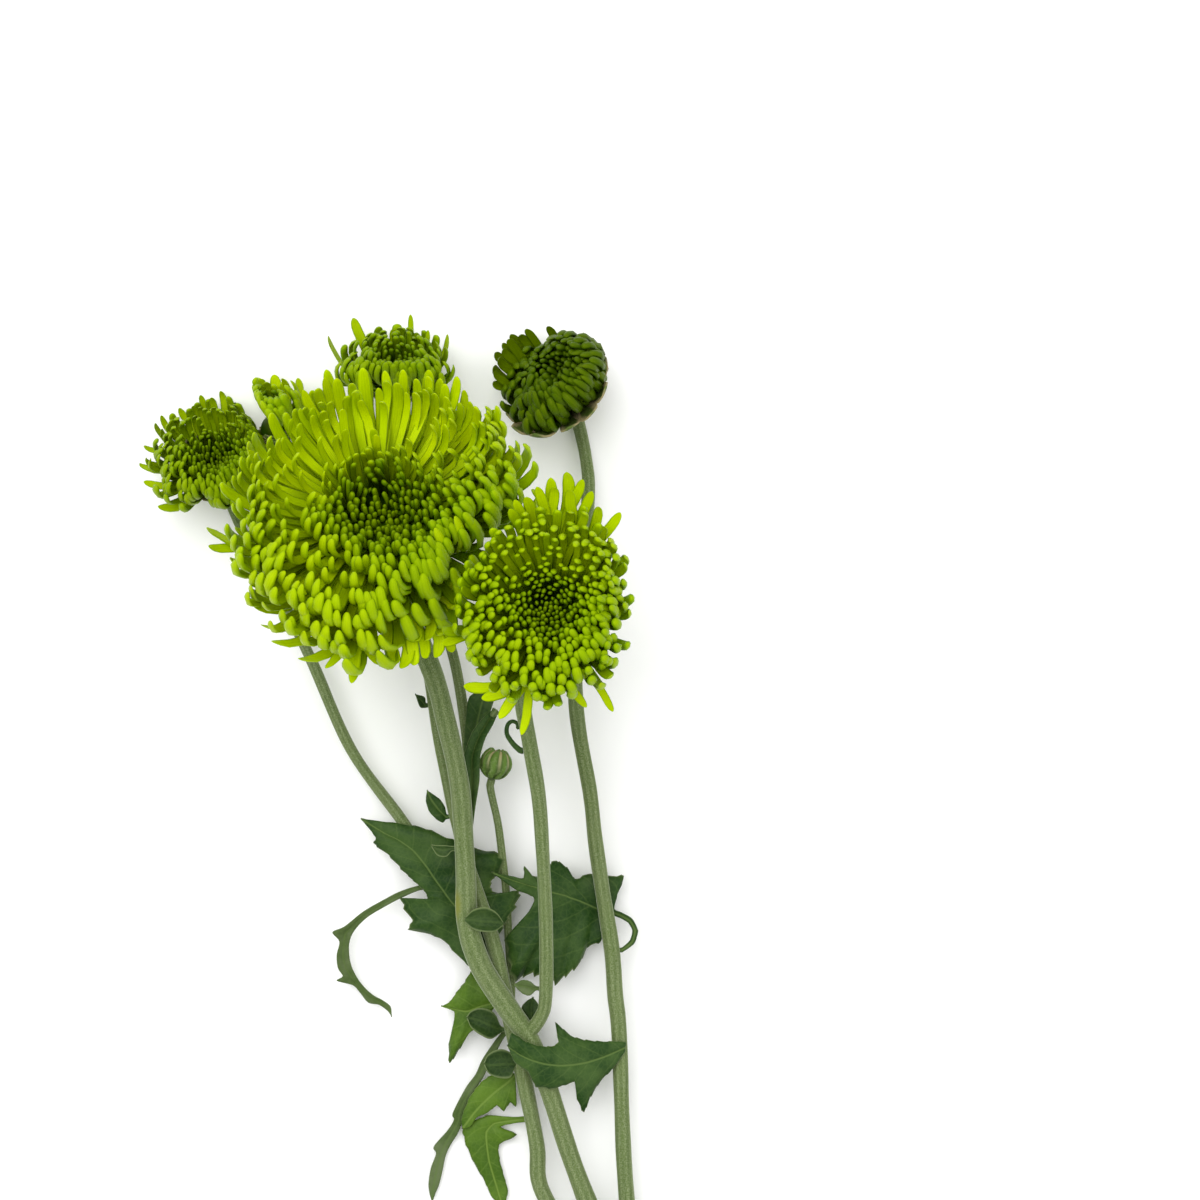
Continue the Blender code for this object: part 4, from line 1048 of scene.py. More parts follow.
@dataclass
class Bloom:
    """A head with all of its ray florets and the receptacle that they stand on."""

    head: Head
    material: bpy.types.Material
    borders: list[Border]
    quill: FloretShape = FloretShape()
    strap: FloretShape = FloretShape(
        taper=(
            (0.0, 0.5), (0.3, 0.75), (0.6, 0.97), (0.75, 1.0), (0.88, 0.93), (0.94, 0.74), (0.97, 0.55), (0.99, 0.32),
            (1.0, 0.12)),
        channel=((0.0, 0.26), (0.7, 0.26), (0.9, 0.2), (1.0, 0.1)),
        thickness=((0.0, 0.12), (0.8, 0.13), (1.0, 0.12)))
    crowding_depth: float = 6.0
    room: float = 0.35
    pressed_from: float = 2.5
    pressed_depth: float = 6.0
    most_left_out: float = 0.6

    def give_way(self, points: np.ndarray, half_widths: np.ndarray) -> np.ndarray:
        """Bends floret paths back from the neighbouring heads.

        Args:
            points: Paths in the layout.
            half_widths: Half of each floret's width.

        Returns:
            The bent paths.
        """
        depth = self.crowding_depth
        room = half_widths[:, None] + self.room
        for edge in self.borders:
            if self.head.name in (edge.first, edge.second):
                outward = unit(edge.outward) * (1 if self.head.name == edge.first else -1)
                past = (points - np.array(edge.point)) @ outward
                pressed = -room - depth * np.exp(-(past + room + depth) / depth)
                points = points + np.where(past + room > -depth, pressed - past, 0.0)[..., None] * outward
        return points

    def build(self) -> bpy.types.Object:
        """Models the head.

        Returns:
            One piece that stands for its solid.
        """
        head = self.head
        rows = directions(head.axis)
        rule = head.paths()
        free = rule["path"] @ rows + np.array(head.centre)
        paths = self.give_way(free, rule["width"] / 2)
        pressed = np.linalg.norm((paths - free)[:, -1], axis=1)
        kept = rule["draw"] > np.clip((pressed - self.pressed_from) / self.pressed_depth, 0.0, self.most_left_out)
        rule = {key: value[kept] for key, value in rule.items()}
        margin = (rule["width"] * 0.5)[:, None, None]
        paths = paths[kept]
        paths = paths + np.maximum(BOX_LOW + margin - paths, 0.0) - np.maximum(paths - (BOX_HIGH - margin), 0.0)
        quill, faces, marks = self.quill.build()
        flatter = climb(rule["out"], head.strap_from, 0.1) * np.clip(1.6 * rule["draw"], 0.2, 1.0)
        flatter = np.maximum(flatter, 0.75 * rule["up"])
        shapes = quill + (self.strap.build()[0] - quill) * flatter[:, None, None]
        points = bend_along(shapes, paths, rule["side"] @ rows, rule["width"])
        count, size = points.shape[:2]
        dome, dome_faces = self.receptacle(rows)
        all_faces = [tuple(i + floret * size for i in face) for floret in range(count) for face in faces]
        all_faces += [tuple(i + count * size for i in face) for face in dome_faces]
        along, inner, across, bow = marks.T
        out, draw, up = (rule[key][:, None] for key in ("out", "draw", "up"))
        bare = np.zeros((len(dome), 4))
        colours = {
            "floret": np.vstack((tint(along, out, draw, inner), bare)),
            "blade": np.vstack((tint(across, bow, up, 1.0), bare))}
        piece = make_piece(head.name + "_florets", np.vstack((points.reshape(-1, 3), dome)), all_faces, colours)
        return finish_piece(piece, self.material, head.name)

    def receptacle(self, rows: np.ndarray) -> tuple[np.ndarray, Faces]:
        """Models the dome under the florets.

        Args:
            rows: The head's directions.

        Returns:
            Its vertices and faces.
        """
        head = self.head
        obj = add_primitive(bpy.ops.mesh.primitive_uv_sphere_add, segments=24, ring_count=14, radius=1.0)
        start_edit(obj)
        bpy.ops.mesh.bisect(plane_co=(0, 0, 0), plane_no=(0, 0, 1), clear_inner=True, use_fill=True)
        spots, faces = take_template(obj)
        spots = spots * (head.core, head.core, head.depth) - (0, 0, head.depth)
        return spots @ rows + np.array(head.centre), faces


@dataclass(frozen=True)
class BractShape:
    """One bract: a pointed scale that stands along +Z, one unit long and wide, with +Y outwards."""

    halves: Profile = ((0.0, 0.42), (0.35, 0.5), (0.7, 0.4), (0.9, 0.2), (1.0, 0.03))
    keel: float = 0.16
    layers: tuple[float, float] = (0.13, -0.05)

    def build(self) -> tuple[np.ndarray, Faces]:
        """Models the bract.

        Returns:
            Its vertices and faces.
        """
        obj = add_primitive(bpy.ops.mesh.primitive_grid_add, x_subdivisions=5, y_subdivisions=6, size=1.0)
        spots, faces = take_template(obj)
        along = spots[:, 1] + 0.5
        across = spots[:, 0] * 2 * np.interp(along, *zip(*self.halves))
        keel = self.keel * (1 - (across / 0.5) ** 2) * np.sin(np.pi * np.clip(along, 0.05, 1))
        size = len(spots)
        edges = [edge for face in faces for edge in zip(face, face[1:] + face[:1])]
        solid = [face[::-1] for face in faces] + [tuple(i + size for i in face) for face in faces]
        solid += [(a, b, b + size, a + size) for a, b in edges if (b, a) not in edges]
        return np.vstack([np.column_stack((across, keel + layer, along)) for layer in self.layers]), solid


@dataclass
class Calyx:
    """The cup of overlapping bracts under a head, with a skirt of long ones where the head shows its back."""

    head: Head
    material: bpy.types.Material
    per_tier: int = 11
    tiers: int = 4
    proud: float = 0.8
    overlap: float = 1.75
    cup_rings: int = 13
    cup_sides: int = 36
    cup_share: float = 0.94
    skirt_bracts: int = 12
    skirt_front: float = -math.pi / 4
    skirt_core: float = 0.8
    skirt_flare: float = 4.2
    skirt_thickness: float = 2.8

    def outline(self, down: float | np.ndarray) -> float | np.ndarray:
        """The cup's radius at a share of its height down from the rim."""
        return 0.93 * self.head.core * (1 - down**1.8) + self.head.neck * down**1.8

    def cup(self) -> Part:
        """Models the smooth body under the bracts.

        Returns:
            Its vertices, faces and colours.
        """
        turns = np.linspace(0, 2 * np.pi, self.cup_sides + 1)[:-1]
        spots = np.array([
            (radius * math.cos(turn), radius * math.sin(turn), -self.head.calyx * down)
            for down in np.linspace(0.0, 1.0, self.cup_rings) for radius in (self.outline(down) * self.cup_share,)
            for turn in turns])
        faces = tube_faces(self.cup_rings, self.cup_sides)
        faces = [(a, d, c, b) for a, b, c, d in faces[:-2]] + [face[::-1] for face in faces[-2:]]
        return spots, faces, tint(np.ones(len(spots)), 0.0, 0.0, 1.0)

    def tier_bract(self, template: np.ndarray, tier: int, index: int, draw: np.random.Generator) -> np.ndarray:
        """Places one of the bracts that hug the cup.

        Args:
            template: The bract's vertices.
            tier: Its tier, counted from the neck.
            index: Its place in the tier.
            draw: The generator.

        Returns:
            Its vertices, and its draw in a last column.
        """
        head = self.head
        base = 1.0 - 0.72 * tier / (self.tiers - 1)
        count = self.per_tier + 2 * tier
        turn = 2 * np.pi * (index + 0.5 * (tier % 2) + draw.uniform(-0.12, 0.12)) / count
        width = 2 * np.pi * self.outline(max(base - 0.35, 0.0)) / count * self.overlap
        length = head.calyx * (0.62 + 0.05 * tier) * draw.uniform(0.85, 1.15)
        along = template[:, 2]
        level = base * head.calyx - along * length
        around = self.outline(np.clip(level / head.calyx, 0.0, 1.0))
        radius = around * 0.95 + template[:, 1] * width * 0.55 + along**2 * self.proud
        spin = turn + template[:, 0] * width / np.maximum(around, 0.5 * head.core)
        hue = np.full(len(spin), draw.random())
        return np.column_stack((radius * np.cos(spin), radius * np.sin(spin), -level, hue))

    def skirt_bract(self, template: np.ndarray, index: int, draw: np.random.Generator) -> np.ndarray:
        """Places one of the long bracts that hold the head.

        Args:
            template: The bract's vertices.
            index: Its place round the head.
            draw: The generator.

        Returns:
            Its vertices, and its draw in a last column.
        """
        head = self.head
        turn = 2 * np.pi * (index + draw.uniform(-0.2, 0.2)) / self.skirt_bracts
        away = max(math.cos(turn - head.back_side), 0.0) ** 2
        facing = math.cos(turn - self.skirt_front)
        rim = head.cup * head.radius * (1 - 0.4 * head.turned_away * away - 0.15 * max(-facing, 0.0))
        core = self.skirt_core * head.core
        along = template[:, 2]
        swept = np.pi / 2 * along * draw.uniform(0.86, 1.16)
        radius = core + (rim - core) * np.sin(swept) ** 0.8
        flare = draw.uniform(0.0, self.skirt_flare) * max(facing, 0.0) * along**2
        radius = radius + template[:, 1] * self.skirt_thickness + flare
        level = head.depth * (0.75 + 0.8 * (1 - np.cos(swept))) - 0.5 * head.depth
        width = 2 * np.pi * rim / self.skirt_bracts * (0.85 + 0.35 * along)
        spin = turn + template[:, 0] * width / np.maximum(radius, 0.6 * rim)
        hue = np.full(len(spin), draw.uniform(0.3, 1.0))
        return np.column_stack((radius * np.cos(spin), radius * np.sin(spin), level, hue))

    def build(self) -> bpy.types.Object:
        """Models the calyx.

        Returns:
            One piece that stands for its solid.
        """
        head = self.head
        draw = np.random.default_rng(head.seed + 5)
        template, faces = BractShape().build()
        bracts = [
            self.tier_bract(template, tier, index, draw)
            for tier in range(self.tiers) for index in range(self.per_tier + 2 * tier)]
        bracts += [self.skirt_bract(template, index, draw) for index in range(self.skirt_bracts if head.cup else 0)]
        parts = [
            (bract[:, :3], faces, tint(np.abs(template[:, 0]) * 2, template[:, 2], bract[:, 3], 1.0))
            for bract in bracts]
        spots, all_faces, colours = join([self.cup(), *parts])
        rows = directions(head.axis)
        origin = np.array(head.centre) - rows[2] * (head.depth + GAP)
        node = head.name.replace("bloom", "calyx")
        piece = make_piece(node + "_bracts", spots @ rows + origin, all_faces, {"bract": colours})
        return finish_piece(piece, self.material, node)


# ---------------------------------------------------------------- bud and tendril
@dataclass
class Bud:
    """The closed bud: a ribbed ball with a dimple on top and small bracts at its foot."""

    material: bpy.types.Material
    centre: Point = (-26.0, -40.7, 12.3)
    axis: Point = (0.25, 0.95, 0.1)
    radius: float = 3.9
    ribs: int = 9
    rib_depth: float = 0.085
    dimple: float = 1.7
    dimple_width: float = 0.34
    bracts: int = 8
    bract_from: float = math.radians(84)
    bract_span: float = math.radians(62)
    bract_spread: float = 0.62

    def build(self) -> bpy.types.Object:
        """Models the bud.

        Returns:
            One piece that stands for its solid.
        """
        ball, faces = take_template(add_primitive(
            bpy.ops.mesh.primitive_uv_sphere_add, segments=self.ribs * 10, ring_count=30, radius=1.0))
        turn = np.arctan2(ball[:, 1], ball[:, 0])
        height = ball[:, 2]
        warped = turn + 0.16 * np.sin(2 * turn + 1.0) + 0.1 * np.sin(3 * turn)
        rib = 0.5 + 0.5 * np.cos(warped * self.ribs + 0.35 * np.sin(height * 3))
        fold = 0.5 + 0.5 * np.cos(3 * turn + 0.6)
        spots = ball * self.radius
        spots[:, :2] *= (1 + self.rib_depth * (2 * rib**0.6 - 1.2) * (1 - height**4))[:, None]
        high = np.clip(height, 0, 1)
        hollow = np.exp(-(np.hypot(ball[:, 0], ball[:, 1]) / self.dimple_width) ** 2) * high
        spots[:, 2] -= self.dimple * (hollow + 0.25 * high**3 * (1 - rib) - 0.35 * high**2 * fold * (1 - hollow))
        parts = [(spots, faces, tint(rib, height * 0.5 + 0.5, 0.0, 1.0))]
        bract, bract_faces = BractShape().build()
        climbing = bract[:, 2] * self.bract_span - self.bract_from
        size = self.radius * 1.03 + bract[:, 1] * 0.8
        for index in range(self.bracts):
            spin = 2 * np.pi * (index + 0.25) / self.bracts + bract[:, 0] * self.bract_spread
            level = size * np.cos(climbing)
            placed = np.column_stack((level * np.cos(spin), level * np.sin(spin), size * np.sin(climbing)))
            parts.append((placed, bract_faces, tint(0.9, bract[:, 2] * 0.3, 1.0, 1.0)))
        spots, faces, colours = join(parts)
        piece = make_piece("bud_ribs", spots @ directions(self.axis) + np.array(self.centre), faces, {"bud": colours})
        return finish_piece(piece, self.material, "bud")


@dataclass
class Tendril:
    """The thin curled bract high on the front stem."""

    material: bpy.types.Material
    route: tuple[Point, ...] = (
        (-18.9, -36.9, 32.2), (-19.6, -36.8, 32.3), (-21.3, -35.2, 32.6), (-22.8, -32.8, 33.0), (-22.6, -30.6, 33.4),
        (-21.5, -29.7, 33.6), (-20.4, -30.1, 33.8), (-20.0, -31.0, 33.9), (-20.4, -31.5, 34.0))
    radius: float = 0.66
    taper: Profile = ((0, 1.25), (0.15, 1.05), (0.5, 0.85), (0.85, 0.72), (0.97, 0.8), (1, 0.4))
    flatness: float = 0.7
    spacing: float = 0.35
    sides: int = 12

    def build(self) -> bpy.types.Object:
        """Models the tendril as a flattened tube that tapers to a point.

        Returns:
            One piece that stands for its solid.
        """
        route = spline_points(np.array(self.route), self.spacing)
        along = unit(np.gradient(route, axis=0))
        side = unit(np.cross(along, RISE))
        turn = np.arange(self.sides) * 2 * np.pi / self.sides
        share = np.linspace(0, 1, len(route))[:, None]
        size = self.radius * np.interp(share, *zip(*self.taper))
        cloud = round_tube(route, size, side, self.flatness * np.cross(side, along), turn)
        colours = tint(np.abs(np.cos(turn)) * 0.97, share, np.sin(turn) > 0, 0.02)
        piece = make_piece(
            "tendril_curl", cloud.reshape(-1, 3), tube_faces(len(route), self.sides), {"leaf": colours})
        return finish_piece(piece, self.material, "tendril")


# ---------------------------------------------------------------- stems
@dataclass
class Shoot:
    """A stem or side shoot: points (x, y, z, radius) from where it leaves its parent to its tip."""

    route: tuple[tuple[float, float, float, float], ...]
    head: str | None = None


@dataclass
class Stem:
    """All of the shoots, with ribs, swollen joints, a leaf scar and the slanting cut."""

    shoots: tuple[Shoot, ...]
    heads: dict[str, Head]
    bud: Bud
    material: bpy.types.Material
    cut_point: Point = (16.0, -221.0, 3.3)
    cut_normal: Point = (0.55, -0.8, 0.2)
    cut_rim: float = 0.25
    cut_colour: tuple[float, float, float, float] = (0.6, 0.0, 1.0, 0.0)
    ribs: int = 8
    relief: float = 0.018
    twist: float = 0.25
    scar_at: Point = (-36.0, -75.8, 15.8)
    scar_size: float = 1.9
    scar_swelling: float = 0.16
    sides: int = 28
    spacing: float = 1.6
    neck_length: float = 1.6
    first_seed: int = 3

    def route(self, shoot: Shoot) -> np.ndarray:
        """A shoot's full route, with the neck that meets its head squarely.

        Args:
            shoot: The shoot.

        Returns:
            Points with their radius.
        """
        end = self.heads[shoot.head] if shoot.head else self.bud
        down = end.depth + end.calyx + 2 * GAP if shoot.head else end.radius + GAP
        radius = shoot.route[-1][3]
        neck = [
            (*np.subtract(end.centre, unit(end.axis) * (down + extra)), radius)
            for extra in (self.neck_length * radius, 0.0)]
        return spline_points(np.array([*shoot.route, *neck]), self.spacing)

    def tube(self, route: np.ndarray, seed: int) -> Part:
        """A ribbed tube with closed ends.

        Args:
            route: Points with their radius.
            seed: The seed of its small irregularities.

        Returns:
            Its vertices, faces and colours.
        """
        spots = route[:, :3]
        along = unit(np.gradient(spots, axis=0))
        across = unit(np.cross(along[0], (0.3, 0.2, 1.0)))
        sides = []
        for direction in along:
            across = unit(across - direction * (across @ direction))
            sides.append(across)
        span = run_length(spots)
        turn = np.arange(self.sides) * 2 * np.pi / self.sides
        twist = self.twist * np.sin(span / 37.0 + seed)
        ridge = (0.5 + 0.5 * np.cos(self.ribs * (turn + twist[:, None]))) ** 1.6
        wobble = 1 + 0.022 * np.sin(span / 6.3 + seed) + 0.018 * np.sin(span / 2.9 + 2 * seed)
        grown = route[:, 3:4] * wobble[:, None] * (1 + self.relief * (2 * ridge - 1.15))
        cloud = round_tube(spots, grown, np.array(sides), np.cross(along, sides), turn)
        away = np.linalg.norm((cloud - np.array(self.scar_at)) * (1.0, 0.42, 0.4), axis=-1)
        scar = np.exp(-(away / self.scar_size) ** 2)
        middle = spots[:, None, :]
        cloud = middle + (cloud - middle) * (1 + self.scar_swelling * scar)[..., None]
        colours = tint(ridge, scar, 0.0, (span / span[-1])[:, None])
        return cloud.reshape(-1, 3), tube_faces(*ridge.shape), colours

    def build(self) -> bpy.types.Object:
        """Models the stem.

        Returns:
            One piece that stands for its solid.
        """
        tubes = [self.tube(self.route(shoot), self.first_seed + index) for index, shoot in enumerate(self.shoots)]
        spots, faces, colours = join(tubes)
        piece = make_piece("stem_shoots", spots, faces, {"stem": colours})
        self.cut_foot(piece)
        return finish_piece(piece, self.material, "stem")

    def cut_foot(self, piece: bpy.types.Object) -> None:
        """Cuts the foot at a slant, as a florist does.

        Args:
            piece: The stem.
        """
        start_edit(piece)
        bpy.ops.mesh.bisect(
            plane_co=tuple(to_frame(self.cut_point)), plane_no=self.cut_normal, clear_outer=True, use_fill=True)
        bpy.ops.mesh.inset(thickness=self.cut_rim * MM)
        bpy.ops.object.mode_set(mode="OBJECT")
        colours = piece.data.color_attributes["stem"].data
        normal = unit(self.cut_normal)
        for face in piece.data.polygons:
            if face.select and np.dot(face.normal, normal) > 0.97:
                for index in face.vertices:
                    colours[index].color = self.cut_colour


# ---------------------------------------------------------------- leaves
@dataclass
class Leaf:
    """A lobed leaf: rows from the stalk to the tip, each a midrib point and then its left and right edge."""

    name: str
    folds: tuple[float, float]
    tip: Point
    rows: tuple[tuple[float, ...], ...]
    look: LeafLook = LeafLook.DARK
    thickness: float = 0.42
    thinnest: float = 0.25
    columns: int = 7
    steps: int = 6
    teeth: float = 0.35
    tooth_depth: float = 0.22
    tooth_pitch: float = 4.5
    crown: float = 0.07
    waviness: float = 0.045
    sunk: float = 0.4
    roll: float = 0.0
    roll_width: float = 1.0
    roundness: float = 0.55
    rib_width: float = 0.5
    rib_groove: float = 0.10
    rib_keel: float = 0.38
    weld: float = 0.005

    def rolled_tip(self, before: Point) -> list[tuple[Point, Point, Point]]:
        """The rows at the tip: one point, or a scroll that rolls up over the blade.

        Args:
            before: The last point of the midrib.

        Returns:
            The last rows.
        """
        if not self.roll:
            return [(self.tip, self.tip, self.tip)]
        tip = np.array(self.tip)
        ahead = unit(tip - np.array(before))
        side = unit(np.cross(ahead, RISE)) * self.roll_width
        rows = []
        for turn, part in zip(np.radians((0, 60, 120, 180, 240, 300)), (1.0, 1.15, 1.1, 0.95, 0.7, 0.3)):
            middle = tip + ahead * self.roll * math.sin(turn) + RISE * self.roll * (1 - math.cos(turn))
            rows.append((middle - side * part, middle, middle + side * part))
        return rows

    def rails(self, stem: BVHTree) -> np.ndarray:
        """The leaf's rows, after one that is sunk a little into the stem that the leaf grows on.

        Args:
            stem: The surface of the stem's solid.

        Returns:
            The left edge, the midrib and the right edge of every row.
        """
        lines = []
        for x, y, z, *edges in self.rows:
            left, right = (
                (edge_x, edge_y, z + fold * math.hypot(edge_x - x, edge_y - y))
                for edge_x, edge_y, fold in zip(edges[::2], edges[1::2], self.folds))
            lines.append((left, (x, y, z), right))
        lines += self.rolled_tip(lines[-1][1])
        first = np.array(lines[0])
        spot, normal, _, _ = stem.find_nearest(tuple(to_frame(first[1])))
        middle = np.array(spot) / MM + PLAN_CENTRE - np.array(normal) * self.sunk
        return np.array([first + (middle - first[1]), *lines])

    def sheet(self, stem: BVHTree) -> tuple[np.ndarray, np.ndarray, np.ndarray, np.ndarray]:
        """The blade's middle surface.

        Args:
            stem: The surface of the stem's solid.

        Returns:
            Its points in rows, and for each the place across, along and the distance from the midrib.
        """
        rails = self.rails(stem)
        last = len(rails) - 1
        places = np.linspace(0, last, last * self.steps + 1)
        low = np.minimum(places.astype(int), last - 1)
        share = (places - low)[:, None, None]
        linear = rails[low] * (1 - share) + rails[low + 1] * share
        padded = extended(rails)
        curved = between_four(*(padded[low + k] for k in range(4)), share)
        smooth = linear * (1 - self.roundness) + curved * self.roundness
        across = np.linspace(-1, 1, 2 * self.columns + 1)
        across = np.sign(across) * np.abs(across) ** 1.35
        left, far = across < 0, np.abs(across)
        mid, ends = smooth[:, 1], smooth[:, (0, 2)]
        half = np.linalg.norm(ends - mid[:, None], axis=2)
        width = np.where(left, half[:, :1], half[:, 1:])
        end = np.where(left[:, None], ends[:, :1], ends[:, 1:])
        points = mid[:, None] + (end - mid[:, None]) * far[:, None]
        seed = sum(map(ord, self.name))
        saw = ((places * 1.35 + seed * 0.37) % 1.0) ** 1.5
        pace = np.linalg.norm(np.gradient(ends, axis=0), axis=2) * self.steps / self.tooth_pitch
        relief = self.teeth * self.tooth_depth * np.clip(np.where(left, pace[:, :1], pace[:, 1:]), 0, 1)
        tooth = 1 + relief * (saw[:, None] - 0.4) * far**6
        points[..., :2] = mid[:, None, :2] + (points[..., :2] - mid[:, None, :2]) * tooth[..., None]
        bulge = self.crown * width * np.sin(np.pi * far)
        wave = self.waviness * width * np.sin(places[:, None] * 2.4 + across * 2.0 + seed)
        points[..., 2] += bulge + wave * far
        return points, np.broadcast_to(far, width.shape), run_length(mid), width * far

    def build(self, stem: BVHTree, material: bpy.types.Material) -> bpy.types.Object:
        """Models the leaf.

        Args:
            stem: The surface of the stem's solid.
            material: The leaf's material.

        Returns:
            One piece that stands for the leaf's solid.
        """
        grid, across, run, reach = self.sheet(stem)
        normal = unit(np.cross(np.gradient(grid, axis=1) + 1e-6, np.gradient(grid, axis=0) + 1e-6) + (0, 0, 1e-9))
        normal *= np.sign(normal[..., 2].mean())
        thin = self.thickness / 2 * np.clip((1 - across) * 6, self.thinnest, 1.0)
        rib = np.exp(-(reach / self.rib_width) ** 2) * np.clip(1 - 0.7 * run / run[-1], 0.2, 1)[:, None]
        top = grid + normal * (thin - rib * self.rib_groove)[..., None]
        under = grid - normal * (thin + rib * self.rib_keel)[..., None]
        rows, columns = across.shape
        order = np.arange(rows * columns).reshape(rows, columns)
        quads = np.stack((order[:-1, :-1], order[:-1, 1:], order[1:, 1:], order[1:, :-1]), axis=-1).reshape(-1, 4)
        rim = np.concatenate((order[:, 0], order[-1, 1:], order[-2::-1, -1], order[0, -2:0:-1]))
        both = np.stack((quads, quads[:, ::-1] + order.size), axis=1).reshape(-1, 4)
        after = np.roll(rim, -1)
        wall = np.column_stack((rim, after, after + order.size, rim + order.size))
        colours = [tint(across, run[:, None] * 0.01, side, reach * 0.02) for side in (1.0, 0.0)]
        piece = make_piece(
            self.name + "_blade", np.vstack((top.reshape(-1, 3), under.reshape(-1, 3))),
            np.vstack((both, wall)).tolist(), {"leaf": np.vstack(colours)})
        start_edit(piece)
        bpy.ops.mesh.remove_doubles(threshold=self.weld * MM)
        bpy.ops.mesh.normals_make_consistent(inside=False)
        bpy.ops.object.mode_set(mode="OBJECT")
        return finish_piece(piece, material, self.name)


# ---------------------------------------------------------------- studio
@dataclass
class Studio:
    """A plain pale floor, soft lights and the camera that looks straight down."""

    floor_size: float = 6.0
    floor_drop: float = 0.0003
    camera_at: Point = (0.0486, 0.075, 1.135)
    lens: float = 135.0
    brightness: float = 0.72

    def light(self, name: str, place: Point, size: float, watts: float, tilt: tuple[float, float]) -> None:
        """Adds a soft square light.

        Args:
            name: Its name.
            place: Where it hangs.
            size: Its width.
            watts: Its power.
            tilt: Its turn about X and about Y in degrees.
        """
        lamp = bpy.data.lights.new(name, "AREA")
        lamp.shape = "SQUARE"
        lamp.size = size
        lamp.energy = watts
        obj = bpy.data.objects.new(name, lamp)
        obj.location = place
        obj.rotation_euler = (*np.radians(tilt), 0)
        bpy.context.scene.collection.objects.link(obj)

    def build(self) -> None:
        """Sets up the floor, lights, surroundings and camera."""
        floor = add_primitive(
            bpy.ops.mesh.primitive_plane_add, size=self.floor_size, location=(0, 0, -self.floor_drop))
        floor.name = "floor"
        floor.data.materials.append(FloorFinish().build())
        self.light("key", (-0.45, 0.55, 1.25), 1.5, 19.0, (-24, -20))
        self.light("fill", (0.75, -0.35, 1.0), 1.0, 5.0, (20, 36))
        world = bpy.data.worlds.new("surroundings")
        world.use_nodes = True
        background = world.node_tree.nodes["Background"].inputs
        background["Color"].default_value = (1.0, 1.0, 1.0, 1.0)
        background["Strength"].default_value = self.brightness
        scene = bpy.context.scene
        scene.view_settings.view_transform = "Standard"
        scene.world = world
        lens = bpy.data.cameras.new("camera")
        lens.lens = self.lens
        lens.sensor_width = 36.0
        lens.clip_start = 0.01
        camera = bpy.data.objects.new("camera", lens)
        camera.location = self.camera_at
        scene.collection.objects.link(camera)
        scene.camera = camera


